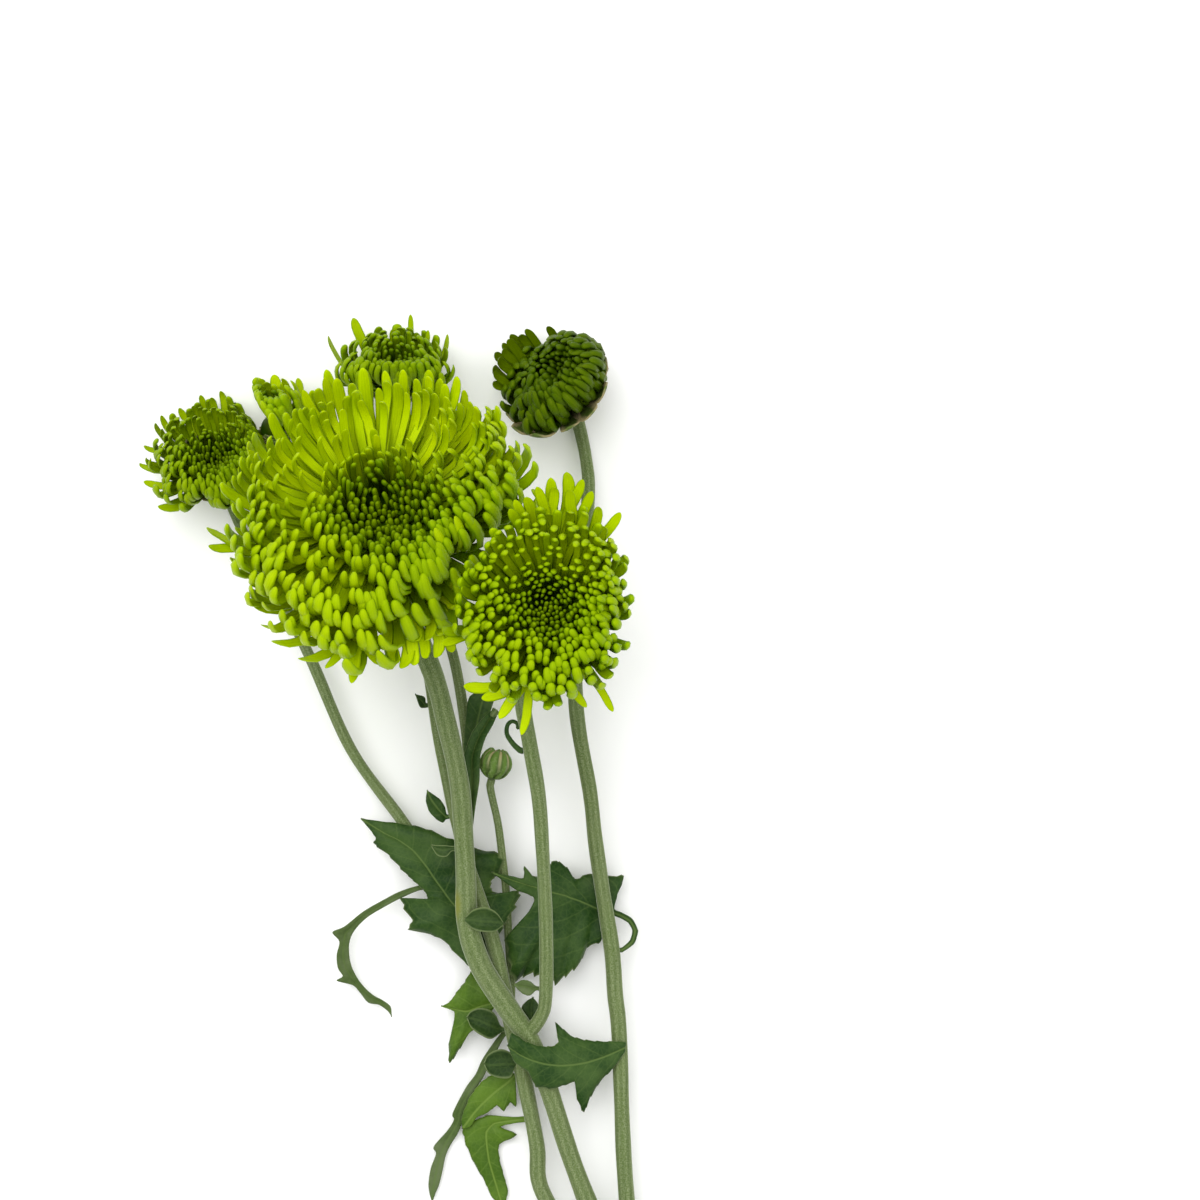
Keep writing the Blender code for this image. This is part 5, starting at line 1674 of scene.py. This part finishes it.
# ---------------------------------------------------------------- the spray
HEADS = {head.name: head for head in (
    Head(
        "big_bloom", centre=(-54.2, 22.5, 46.0), axis=(-0.05, 0.52, 0.85), radius=41.0, crown=13.0, hollow=0.3,
        core=10.5, depth=12.0, florets=690, width=3.5, root_angle=92, tip_angle=50, calyx=6.5, neck=2.9, seed=11,
        openness=1.0, heart_shift=(3.0, -7.0), rim_shift=(3.0, -3.5), open_side=math.radians(107),
        open_spread=0.35, strays=(
            Stray(184, 1.05, -1, 44, 8), Stray(189, 1.04, -3, 58, 16, 0.85), Stray(196, 0.94, -3, 56, 0, 0.85),
            Stray(203, 0.88, -4, 60, -14), Stray(217, 0.92, -4, 66, -34), Stray(225, 0.95, -5, 74, -44, 0.8),
            Stray(232, 0.97, -6, 80, -52), Stray(243, 0.97, -7, 88, -50, 1.0), Stray(252, 0.96, -6, 95, -20, 0.8),
            Stray(261, 0.99, -6, 104, 4), Stray(269, 0.9, -6, 108, 34, 0.8), Stray(276, 0.86, -8, 100, 20, 0.9),
            Stray(281, 0.92, -8, 98, -14, 0.95), Stray(286, 0.95, -8, 104, 12, 0.9), Stray(291, 0.93, -8, 98, 0, 0.95),
            Stray(297, 0.96, -9, 104, -8), Stray(303, 0.99, -10, 108, 6), Stray(87, 0.98, 2, 56),
            Stray(288, 0.84, -4, 84, 8), Stray(294, 0.87, -5, 88, -8), Stray(300, 0.89, -6, 90),
            Stray(100, 1.02, 3, 60), Stray(318, 0.5, 13, 8), Stray(330, 0.58, 13, 14),
            Stray(316, 0.68, -1, 56, 0, 1.0), Stray(323, 0.74, -2, 62, 8, 1.0), Stray(309, 0.76, -4, 70, -6, 1.0))),
    Head(
        "front_bloom", centre=(-12.4, -1.2, 62.0), axis=(0.0, 0.25, 0.97), radius=26.0, crown=8.5, hollow=0.45,
        core=8.0, depth=8.5, florets=470, width=2.72, root_angle=96, tip_angle=52, calyx=5.0, neck=2.2, seed=23,
        openness=0.45, heart_shift=(0.0, -2.5), turned_away=0.2, back_side=0.0, strays=(
            Stray(83, 1.25, 0, 50, 10, 1.2), Stray(75, 1.18, 1, 50, -12, 1.0), Stray(91, 1.17, 1, 48, -8, 1.15),
            Stray(97, 1.08, 2, 46, 16, 1.0), Stray(104, 1.02, 2, 44, 6, 1.1), Stray(69, 1.07, 2, 46, -10, 1.0),
            Stray(62, 1.0, 2, 46, 10, 1.0), Stray(87, 1.08, 3, 42, -10, 1.0), Stray(79, 1.05, 3, 42, 12, 1.1),
            Stray(112, 1.0, 2, 48, 10, 1.0), Stray(52, 1.02, 1, 52, -6, 0.95), Stray(196, 1.02, -4, 104, 0, 1.0),
            Stray(226, 1.0, -7, 96, -48, 1.15), Stray(237, 0.94, -8, 104, -40, 1.1),
            Stray(247, 0.98, -8, 118, -12, 1.05), Stray(258, 1.08, -11, 128, -6, 0.85),
            Stray(290, 0.9, -7, 110, 20, 0.8), Stray(303, 1.04, -9, 100, -6, 0.7))),
    Head(
        "left_bloom", look=FloretLook.HALF_OPEN, centre=(-96.2, 36.0, 11.9), axis=(-0.12, 0.62, 0.77), radius=18.5,
        crown=6.5, hollow=0.4, core=5.6, depth=6.0, florets=300, width=2.15, root_angle=92, tip_angle=42, calyx=4.2,
        neck=1.7, seed=31, openness=0.5, strap_from=0.5, heart_shift=(2.0, -4.5), cup=0.6, strays=(
            Stray(170, 0.99, -1, 70, 10, 0.85), Stray(186, 0.99, -2, 80, -20, 0.9),
            Stray(230, 0.96, -4, 92, -46, 1.25), Stray(206, 0.94, -2, 84, -30, 0.9), Stray(91, 1.04, 1, 40, 4, 0.9),
            Stray(74, 0.97, 1, 38, -14, 0.85), Stray(127, 0.98, 0, 50, 10, 0.9), Stray(143, 1.02, 0, 56, -10, 0.9),
            Stray(108, 0.95, 2, 40, 12, 0.85))),
    Head(
        "top_bloom", look=FloretLook.HALF_OPEN, centre=(-51.4, 57.0, 14.0), axis=(0.0, 0.8, 0.6), radius=16.0,
        crown=6.5, hollow=0.5, core=5.2, depth=5.6, florets=165, width=2.6, root_angle=90, tip_angle=38, calyx=4.0,
        neck=1.9, seed=44, openness=0.25, hook=0.8, strap_from=0.6, heart_shift=(0.9, -2.6), strays=(
            Stray(129, 0.98, 5, 46, 0, 1.0), Stray(151, 1.2, 2, 40, 6, 0.8), Stray(74, 0.9, 6, 34, 14, 0.65),
            Stray(46, 0.72, 5, 26, 20, 0.7), Stray(38, 1.04, 2.6, 30, 24, 0.8), Stray(92, 0.66, 4, 20, 4, 0.8),
            Stray(86, 0.5, 4, 14, -4, 0.8), Stray(91, 0.36, 4, 8, 0, 0.7))),
    Head(
        "side_bloom", look=FloretLook.YOUNG, centre=(-11.9, 53.6, 12.6), axis=(-0.42, 0.45, 0.79), radius=15.0,
        crown=7.0, hollow=0.5, core=5.6, depth=6.0, florets=215, width=2.95, root_angle=84, tip_angle=14, calyx=4.2,
        neck=1.9, seed=57, slot=Slot.YOUNG_FLORET, strap_from=0.4, heart_shift=(6.5, 1.5), turned_away=0.36,
        cup=0.95, strays=(
            Stray(158, 1.14, 4, 40, 10, 0.85), Stray(147, 1.08, 4, 34, -10, 0.75), Stray(136, 1.1, 4, 36, 6, 0.8),
            Stray(172, 1.04, 4, 38, -14, 0.95), Stray(186, 0.98, 3, 46, 12, 0.85), Stray(98, 0.93, 3, 26, 0, 0.8),
            Stray(152, 0.98, 5, 30, 6), Stray(141, 0.98, 5, 30, -8), Stray(165, 0.98, 5, 32, 8),
            Stray(129, 0.98, 5, 30, 4, 0.8), Stray(179, 0.95, 5, 34, 0, 0.8), Stray(120, 0.94, 5, 28, 6, 0.8))),
    Head(
        "rear_bloom", centre=(-82.0, 46.0, 12.4), axis=(-0.25, 0.85, 0.45), radius=11.0, crown=5.5, hollow=0.5,
        core=4.0, depth=4.6, florets=62, width=3.3, root_angle=86, tip_angle=34, calyx=3.4, neck=1.4, seed=61,
        openness=0.6, hook=0.5, strap_from=0.0, strays=(
            Stray(140, 1.12, 2, 40), Stray(110, 1.1, 2, 34), Stray(170, 1.1, 1, 44), Stray(75, 1.1, 2, 34))),
)}

SHOOTS = (
    Shoot(head="big_bloom", route=(
        (17.2, -227.0, 3.3, 3.2), (12.5, -200.0, 3.8, 3.0), (9.0, -182.0, 4.5, 2.8), (1.5, -163.0, 5.9, 2.6),
        (-7.0, -140.5, 7.7, 2.4), (-13.0, -121.8, 9.6, 2.4), (-17.5, -110.0, 11.2, 2.6), (-22.5, -102.5, 12.4, 2.8),
        (-27.8, -94.5, 13.4, 2.8), (-30.5, -89.2, 14.0, 2.7), (-32.8, -81.2, 14.8, 2.6), (-33.3, -70.0, 15.8, 2.5),
        (-34.3, -51.0, 18.2, 2.4), (-35.5, -41.8, 19.6, 2.4), (-38.0, -30.5, 21.5, 2.5), (-41.0, -19.0, 23.0, 2.5),
        (-47.0, -4.0, 25.0, 2.5))),
    Shoot(head="front_bloom", route=(
        (-18.5, -109.0, 11.3, 1.9), (-14.8, -104.0, 13.4, 1.8), (-13.5, -98.5, 15.5, 1.7), (-13.4, -80.3, 20.5, 1.7),
        (-14.3, -59.0, 26.5, 1.7), (-15.2, -47.3, 29.5, 1.8), (-17.3, -34.7, 33.0, 1.9), (-18.9, -23.7, 36.0, 2.0),
        (-17.0, -14.0, 38.0, 2.0))),
    Shoot(head="top_bloom", route=(
        (12.5, -200.0, 4.0, 2.0), (2.0, -176.0, 4.8, 2.0), (-8.0, -160.0, 5.3, 2.0), (-15.0, -147.0, 5.6, 2.0),
        (-15.8, -137.0, 5.7, 2.0), (-18.5, -123.0, 5.7, 2.0), (-20.8, -112.5, 6.2, 1.95), (-23.0, -102.5, 8.2, 1.95),
        (-25.5, -90.0, 10.2, 1.9), (-28.0, -81.2, 10.6, 1.85), (-31.0, -72.5, 10.6, 1.75), (-33.5, -65.0, 10.5, 1.75),
        (-35.3, -57.0, 10.4, 1.7), (-37.0, -50.0, 10.2, 1.7), (-39.8, -36.2, 10.0, 1.65), (-42.0, -22.5, 9.8, 1.65),
        (-46.0, 5.0, 9.2, 1.6), (-49.5, 30.0, 8.0, 1.6))),
    Shoot(head="left_bloom", route=(
        (-23.0, -102.5, 7.8, 1.5), (-25.8, -96.0, 5.9, 1.5), (-29.8, -87.0, 5.2, 1.5), (-36.0, -76.0, 5.0, 1.5),
        (-43.0, -65.5, 5.0, 1.5), (-50.0, -55.0, 5.0, 1.45), (-62.5, -37.5, 5.3, 1.4), (-72.5, -15.0, 5.6, 1.4),
        (-81.2, 2.5, 4.8, 1.35), (-89.5, 16.5, 3.0, 1.3))),
    Shoot(head="rear_bloom", route=(
        (-33.5, -65.0, 10.2, 1.35), (-33.6, -58.0, 10.1, 1.35), (-33.4, -48.0, 9.8, 1.35), (-33.3, -35.0, 9.5, 1.3),
        (-36.5, -15.0, 8.5, 1.3), (-41.0, -4.0, 6.2, 1.2), (-48.0, 7.0, 4.2, 1.15), (-60.0, 20.0, 4.4, 1.1),
        (-71.0, 30.0, 5.4, 1.1))),
    Shoot(head="side_bloom", route=(
        (10.0, -185.0, 4.3, 1.9), (8.0, -165.0, 4.9, 2.0), (6.0, -140.0, 5.6, 2.0), (4.8, -109.0, 6.5, 2.0),
        (3.8, -99.0, 6.9, 2.0), (3.0, -88.0, 7.2, 2.1), (0.8, -74.0, 7.8, 1.9), (-1.2, -60.0, 8.3, 1.9),
        (-2.5, -48.2, 8.8, 1.9), (-6.0, -26.0, 9.0, 1.9), (-5.5, 0.0, 7.5, 1.8), (-3.0, 25.0, 5.0, 1.7),
        (-3.6, 36.0, 3.6, 1.6))),
    Shoot(route=(
        (-22.6, -104.0, 7.6, 1.1), (-22.3, -97.0, 6.2, 1.1), (-22.6, -90.0, 5.5, 1.1), (-23.0, -84.0, 5.4, 1.05),
        (-23.6, -73.0, 5.6, 1.0), (-24.4, -65.0, 7.3, 1.0), (-25.5, -56.0, 9.7, 1.0), (-26.9, -49.5, 11.2, 1.0))),
)

LEAVES = (
    Leaf("broad_leaf", folds=(-0.02, 0.0), tip=(-60.0, -54.8, 6.9), rows=(
        (-28.4, -94.2, 8.0, -28.6, -95.0, -28.2, -93.4), (-31.5, -87.0, 7.6, -34.2, -90.5, -25.3, -84.2),
        (-33.5, -82.5, 7.6, -40.0, -84.8, -23.5, -80.5), (-34.8, -79.2, 7.6, -47.8, -82.5, -21.3, -77.0),
        (-36.0, -77.0, 7.6, -47.2, -80.2, -20.0, -72.8), (-37.1, -75.8, 7.6, -50.2, -74.8, -24.4, -73.4),
        (-38.2, -74.4, 7.6, -45.4, -75.4, -26.6, -73.2), (-39.2, -72.9, 7.6, -43.2, -74.9, -27.4, -71.8),
        (-40.6, -71.0, 7.6, -43.8, -73.2, -27.0, -70.0), (-41.6, -69.6, 7.6, -45.6, -71.4, -24.6, -68.2),
        (-42.4, -68.4, 7.6, -47.4, -69.8, -24.9, -63.6), (-43.5, -66.8, 7.5, -49.2, -68.0, -31.5, -62.2),
        (-46.8, -62.8, 7.4, -53.0, -64.0, -38.2, -59.5), (-50.5, -60.2, 7.2, -56.8, -61.0, -44.5, -57.0),
        (-54.0, -58.5, 7.1, -56.2, -59.5, -50.5, -56.0))),
    Leaf(
        "hanging_leaf", look=LeafLook.GREY, folds=(0.25, 0.25), teeth=0.0, roundness=0.9,
        tip=(-52.4, -104.9, 2.3), rows=(
        (-41.0, -71.8, 5.2, -40.8, -72.5, -41.2, -71.2), (-45.5, -72.2, 5.5, -45.3, -72.9, -45.8, -71.7),
        (-50.2, -74.0, 5.8, -49.9, -74.8, -50.4, -73.2), (-54.1, -76.1, 5.7, -53.7, -76.8, -54.5, -75.3),
        (-58.6, -78.8, 5.2, -57.9, -79.3, -59.5, -78.2), (-62.0, -81.7, 4.8, -60.5, -81.6, -64.1, -81.9),
        (-63.9, -83.8, 4.4, -62.2, -83.9, -67.2, -83.4), (-64.3, -86.2, 4.0, -63.0, -86.4, -65.5, -85.8),
        (-64.6, -89.3, 3.6, -63.0, -89.3, -66.2, -89.3), (-64.0, -92.2, 3.3, -62.5, -91.9, -65.9, -92.5),
        (-62.9, -94.2, 3.0, -61.7, -93.8, -64.7, -94.6), (-62.0, -95.6, 2.9, -61.0, -95.1, -66.2, -95.7),
        (-61.0, -96.8, 2.8, -60.1, -96.4, -62.2, -96.9), (-59.5, -98.5, 2.7, -58.7, -98.0, -60.3, -98.9),
        (-57.6, -100.1, 2.6, -56.9, -99.5, -58.3, -101.3), (-55.2, -101.3, 2.5, -54.7, -100.7, -55.6, -101.9),
        (-53.2, -102.8, 2.4, -52.7, -102.3, -53.6, -103.3))),
    Leaf("dark_leaf", folds=(0.08, 0.05), tip=(-27.2, -68.0, 10.4), rows=(
        (5.7, -87.6, 7.2, 5.6, -87.0, 5.8, -88.2), (8.0, -85.8, 6.6, 7.5, -85.3, 8.6, -86.2),
        (8.8, -83.0, 5.7, 8.1, -83.0, 9.6, -83.0), (7.6, -80.6, 4.9, 7.1, -81.1, 8.1, -80.0),
        (5.2, -79.2, 4.5, 5.0, -79.9, 5.5, -78.5), (3.2, -78.5, 4.4, 2.9, -79.4, 3.6, -77.6),
        (1.5, -78.0, 4.4, 1.5, -83.0, 4.4, -74.0), (0.0, -77.8, 4.5, 0.0, -86.0, 6.0, -69.3),
        (-1.5, -77.2, 4.7, -3.0, -87.0, 0.5, -69.2), (-3.0, -76.5, 4.9, -5.0, -91.0, -2.5, -68.6),
        (-4.5, -75.8, 5.2, -8.0, -93.8, -6.2, -70.0), (-6.0, -75.2, 5.5, -11.2, -96.2, -8.2, -67.2),
        (-7.2, -74.8, 5.9, -13.8, -93.5, -11.0, -65.3), (-8.5, -74.2, 6.2, -18.5, -94.0, -13.0, -66.5),
        (-9.8, -73.8, 6.6, -21.4, -95.4, -14.3, -68.6), (-11.0, -73.5, 7.0, -22.6, -91.2, -16.0, -69.3),
        (-12.2, -73.2, 7.4, -23.8, -85.0, -16.8, -69.1), (-13.5, -72.8, 7.8, -18.9, -79.6, -17.5, -69.5),
        (-15.0, -72.2, 8.3, -16.6, -76.0, -19.0, -66.5), (-17.5, -71.5, 9.0, -16.8, -74.2, -19.2, -69.6),
        (-21.2, -70.2, 9.9, -21.5, -72.2, -22.2, -69.0))),
    Leaf("front_leaf", folds=(-0.12, 0.1), tip=(-23.0, -111.0, 14.4), rows=(
        (6.2, -112.0, 8.8, 6.0, -113.4, 6.4, -110.6), (3.5, -113.2, 9.5, 3.0, -117.5, 3.5, -110.3),
        (1.0, -114.2, 10.1, 0.0, -120.5, 0.0, -110.3), (-1.5, -115.0, 10.7, -2.5, -124.5, -4.0, -109.8),
        (-3.5, -115.5, 11.3, -4.0, -128.2, -7.5, -108.5), (-5.5, -115.8, 11.9, -5.8, -124.5, -11.2, -105.3),
        (-7.5, -116.0, 12.5, -6.3, -120.3, -10.4, -110.0), (-10.5, -116.0, 13.4, -11.0, -121.8, -12.0, -111.2),
        (-13.8, -115.5, 14.4, -16.0, -121.2, -15.0, -111.0), (-17.0, -114.5, 14.9, -17.8, -117.6, -18.5, -109.8),
        (-19.8, -113.2, 14.9, -21.2, -115.2, -22.0, -107.6))),
    Leaf("upright_leaf_back", look=LeafLook.UPRIGHT, folds=(0.1, 0.1), teeth=0.0, tip=(-25.0, -19.5, 13.2), rows=(
        (-32.3, -48.2, 11.8, -32.9, -48.2, -31.8, -48.2), (-31.9, -44.0, 11.8, -32.9, -44.0, -31.0, -44.0),
        (-32.0, -37.5, 11.9, -34.0, -37.5, -30.2, -37.5), (-30.5, -30.0, 12.0, -33.5, -29.5, -28.2, -30.5),
        (-29.2, -25.0, 12.4, -32.5, -24.0, -26.6, -25.6))),
    Leaf(
        "upright_leaf_front", look=LeafLook.UPRIGHT, folds=(0.5, 0.5), teeth=0.0, roll=0.85, roll_width=0.95,
        tip=(-26.3, -28.1, 15.8), rows=(
        (-32.4, -57.5, 14.45, -33.0, -57.5, -31.8, -57.5), (-32.0, -51.5, 14.0, -33.2, -51.5, -31.0, -51.5),
        (-31.8, -45.0, 13.7, -33.6, -45.0, -30.0, -45.0), (-31.8, -38.8, 13.8, -33.9, -38.8, -29.8, -38.8),
        (-30.0, -33.8, 14.5, -31.8, -32.8, -28.5, -34.4), (-27.8, -30.0, 15.5, -28.9, -29.1, -26.6, -31.0))),
    Leaf("pointed_leaf", roundness=1.0, folds=(0.15, 0.15), tip=(-43.2, -47.5, 10.6), rows=(
        (-38.4, -54.2, 10.0, -38.5, -54.9, -38.3, -53.5), (-39.4, -53.4, 10.1, -39.6, -55.6, -38.8, -51.6),
        (-40.8, -51.8, 10.2, -42.3, -53.4, -39.8, -50.0), (-42.2, -49.8, 10.4, -43.5, -50.3, -41.3, -48.8))),
    Leaf(
        "cupped_leaflet", look=LeafLook.CUPPED, roundness=1.0, folds=(0.35, 0.35), crown=-0.16, teeth=0.0,
        tip=(-23.8, -80.5, 17.0), rows=(
        (-33.3, -79.3, 17.9, -33.2, -78.7, -33.4, -79.9), (-31.5, -79.5, 17.9, -31.5, -76.9, -31.5, -81.6),
        (-28.8, -79.8, 17.7, -28.5, -76.2, -28.8, -82.3), (-26.0, -80.0, 17.4, -25.7, -77.6, -26.0, -82.2))),
    Leaf(
        "small_cupped_leaflet", look=LeafLook.CUPPED, roundness=1.0, folds=(0.3, 0.3), crown=-0.16, teeth=0.0,
        tip=(-42.0, -61.0, 15.6), rows=(
        (-36.9, -61.8, 16.3, -36.9, -62.4, -36.9, -61.2), (-38.4, -62.2, 15.9, -38.3, -63.8, -38.4, -61.0),
        (-40.3, -62.0, 15.7, -40.5, -63.4, -40.3, -61.0))),
    Leaf("small_bract", look=LeafLook.CUPPED, roundness=1.0, folds=(0.2, 0.2), tip=(-46.2, -23.5, 10.6), rows=(
        (-43.8, -26.3, 9.6, -44.0, -27.0, -43.5, -25.7), (-44.6, -25.4, 9.9, -45.1, -26.6, -43.9, -24.2))),
    Leaf(
        "upper_round_leaflet", look=LeafLook.CUPPED, roundness=1.0, folds=(0.22, 0.22), crown=-0.16, teeth=0.0,
        tip=(-33.3, -104.5, 8.0), rows=(
        (-24.7, -107.8, 5.6, -24.7, -108.5, -24.7, -107.1), (-27.2, -106.8, 6.6, -27.3, -110.0, -26.6, -103.4),
        (-30.0, -105.5, 7.2, -29.8, -109.0, -29.8, -102.2), (-32.2, -104.8, 7.6, -32.3, -107.0, -32.3, -103.0))),
    Leaf(
        "lower_round_leaflet", look=LeafLook.CUPPED, roundness=1.0, folds=(0.2, 0.2), crown=-0.16, teeth=0.0,
        tip=(-29.0, -116.0, 8.8), rows=(
        (-21.2, -116.2, 7.5, -21.3, -116.9, -21.2, -115.5), (-23.0, -116.3, 7.9, -22.4, -119.4, -22.6, -113.2),
        (-25.4, -116.3, 8.2, -25.1, -119.6, -25.2, -112.4), (-27.8, -116.5, 8.4, -27.8, -118.5, -28.0, -113.8))),
    Leaf("pale_leaf", look=LeafLook.BACKLIT, folds=(-0.03, -0.03), tip=(-40.0, -102.2, 2.6), rows=(
        (-26.0, -101.0, 4.9, -26.1, -101.7, -25.9, -100.3), (-29.0, -101.8, 4.5, -30.0, -107.5, -30.0, -93.8),
        (-31.0, -102.5, 4.2, -32.5, -108.5, -32.5, -93.4), (-32.6, -103.2, 3.9, -35.5, -113.2, -34.0, -96.0),
        (-33.8, -103.4, 3.6, -37.8, -116.5, -35.8, -98.2), (-34.9, -103.2, 3.3, -38.0, -111.5, -37.0, -100.0),
        (-36.0, -102.9, 3.0, -36.7, -106.5, -38.0, -101.2), (-37.0, -102.7, 2.8, -36.4, -103.7, -38.8, -101.7))),
    Leaf("long_leaf", look=LeafLook.GREY, roundness=0.9, teeth=0.0, folds=(0.0, 0.0), tip=(-42.3, -152.0, 1.0), rows=(
        (-24.2, -109.2, 3.9, -24.0, -109.9, -24.7, -108.6), (-28.5, -115.8, 3.0, -27.7, -116.9, -29.3, -115.0),
        (-30.5, -119.9, 2.2, -29.6, -120.5, -31.3, -119.3), (-32.8, -123.3, 1.7, -31.8, -123.9, -33.8, -122.8),
        (-35.3, -128.7, 1.4, -34.0, -128.5, -37.1, -129.2), (-35.7, -131.1, 1.4, -34.6, -131.4, -36.8, -130.9),
        (-37.2, -134.1, 1.3, -36.0, -134.7, -38.4, -133.6), (-39.2, -137.4, 1.2, -37.6, -137.2, -41.9, -137.7),
        (-40.1, -139.8, 1.2, -38.9, -140.1, -41.3, -139.5), (-41.1, -143.2, 1.1, -39.6, -143.5, -42.6, -143.0),
        (-41.8, -147.0, 1.1, -40.5, -147.2, -43.2, -146.8), (-42.2, -149.5, 1.1, -41.5, -149.7, -43.0, -149.3))),
    Leaf("fingered_leaf", look=LeafLook.BACKLIT, folds=(-0.01, -0.02), tip=(-34.6, -133.0, 2.6), rows=(
        (-21.3, -119.5, 3.9, -21.2, -120.2, -21.4, -118.9), (-22.6, -120.8, 3.5, -21.0, -127.4, -24.2, -118.9),
        (-24.0, -122.0, 3.2, -22.6, -126.4, -26.2, -119.1), (-25.6, -123.2, 3.1, -24.2, -128.6, -28.2, -119.9),
        (-27.6, -124.9, 3.0, -25.9, -127.2, -30.3, -121.7), (-29.6, -126.8, 2.9, -28.3, -129.0, -32.5, -124.6),
        (-31.8, -129.2, 2.8, -31.0, -130.2, -34.3, -128.6), (-33.4, -131.4, 2.7, -32.7, -132.6, -34.9, -130.8))),
    Leaf("bright_leaf", look=LeafLook.BACKLIT, folds=(0.0, 0.0), tip=(-24.2, -154.0, 1.0), rows=(
        (-17.5, -130.5, 2.9, -17.5, -131.2, -17.5, -129.8), (-22.0, -131.0, 2.2, -22.0, -131.8, -22.0, -130.1),
        (-26.6, -131.8, 1.6, -25.2, -132.8, -28.4, -129.8), (-28.6, -134.0, 1.5, -20.8, -134.6, -34.4, -132.5),
        (-28.5, -137.4, 1.4, -25.4, -137.2, -34.0, -136.5), (-27.9, -141.5, 1.3, -25.2, -141.2, -31.8, -141.8),
        (-26.7, -145.6, 1.2, -24.2, -145.0, -29.3, -146.0), (-25.5, -149.6, 1.1, -23.2, -148.8, -27.5, -150.0))),
    Leaf("inner_leaflet", look=LeafLook.CUPPED, roundness=1.0, folds=(0.15, 0.15), tip=(-16.8, -99.4, 8.6), rows=(
        (-17.0, -105.8, 8.9, -17.6, -105.8, -16.4, -105.8), (-17.2, -103.0, 8.6, -19.6, -102.6, -14.9, -103.2),
        (-17.1, -101.0, 8.5, -18.9, -100.8, -15.4, -101.2))),
    Leaf("grey_leaflet", look=LeafLook.GREY, roundness=1.0, folds=(0.3, 0.3), tip=(-21.5, -95.8, 14.4), rows=(
        (-15.95, -96.6, 15.3, -15.95, -97.2, -15.95, -96.0), (-17.5, -96.4, 15.0, -17.5, -98.4, -17.5, -94.8),
        (-19.5, -96.0, 14.7, -19.5, -97.8, -19.5, -94.6))),
)

# How far a head reaches towards a neighbour that presses on it, where that is more than its radius.
PRESSED = {("top_bloom", "big_bloom"): 19.0}
SET_BORDER = Border("big_bloom", "front_bloom", (-31.0, 0.0, 57.0), (0.65, -0.3, 0.7))


def parting_planes() -> list[Border]:
    """Works out the plane between every two heads from their places and radii.

    Returns:
        The planes.
    """
    borders = [SET_BORDER]
    for first, second in combinations(HEADS, 2):
        if (first, second) != (SET_BORDER.first, SET_BORDER.second):
            own = PRESSED.get((first, second), HEADS[first].radius)
            theirs = PRESSED.get((second, first), HEADS[second].radius)
            between = np.subtract(HEADS[second].centre, HEADS[first].centre)
            distance = float(np.linalg.norm(between))
            share = (distance**2 + own**2 - theirs**2) / (2 * distance**2)
            point = HEADS[first].centre + between * share
            borders.append(Border(first, second, tuple(point), tuple(between / distance)))
    return borders


def main() -> None:
    """Dresses the spray piece by piece."""
    logging.basicConfig(level=logging.INFO, format="%(message)s")
    Studio().build()
    floret_finishes = {look: look.value.build() for look in FloretLook}
    leaf_finishes = {look: look.value.build() for look in LeafLook}
    calyx_finish = BractFinish().build()
    borders = parting_planes()
    for head in HEADS.values():
        Bloom(head, floret_finishes[head.look], borders).build()
        Calyx(head, calyx_finish).build()
    bud = Bud(BudFinish().build())
    Stem(SHOOTS, HEADS, bud, StemFinish().build()).build()
    bud.build()
    stem_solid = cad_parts["stem"].data
    stem_surface = BVHTree.FromPolygons(
        [vertex.co for vertex in stem_solid.vertices], [tuple(face.vertices) for face in stem_solid.polygons])
    for leaf in LEAVES:
        leaf.build(stem_surface, leaf_finishes[leaf.look])
    Tendril(leaf_finishes[LeafLook.DARK]).build()


if __name__ == "__main__":
    main()
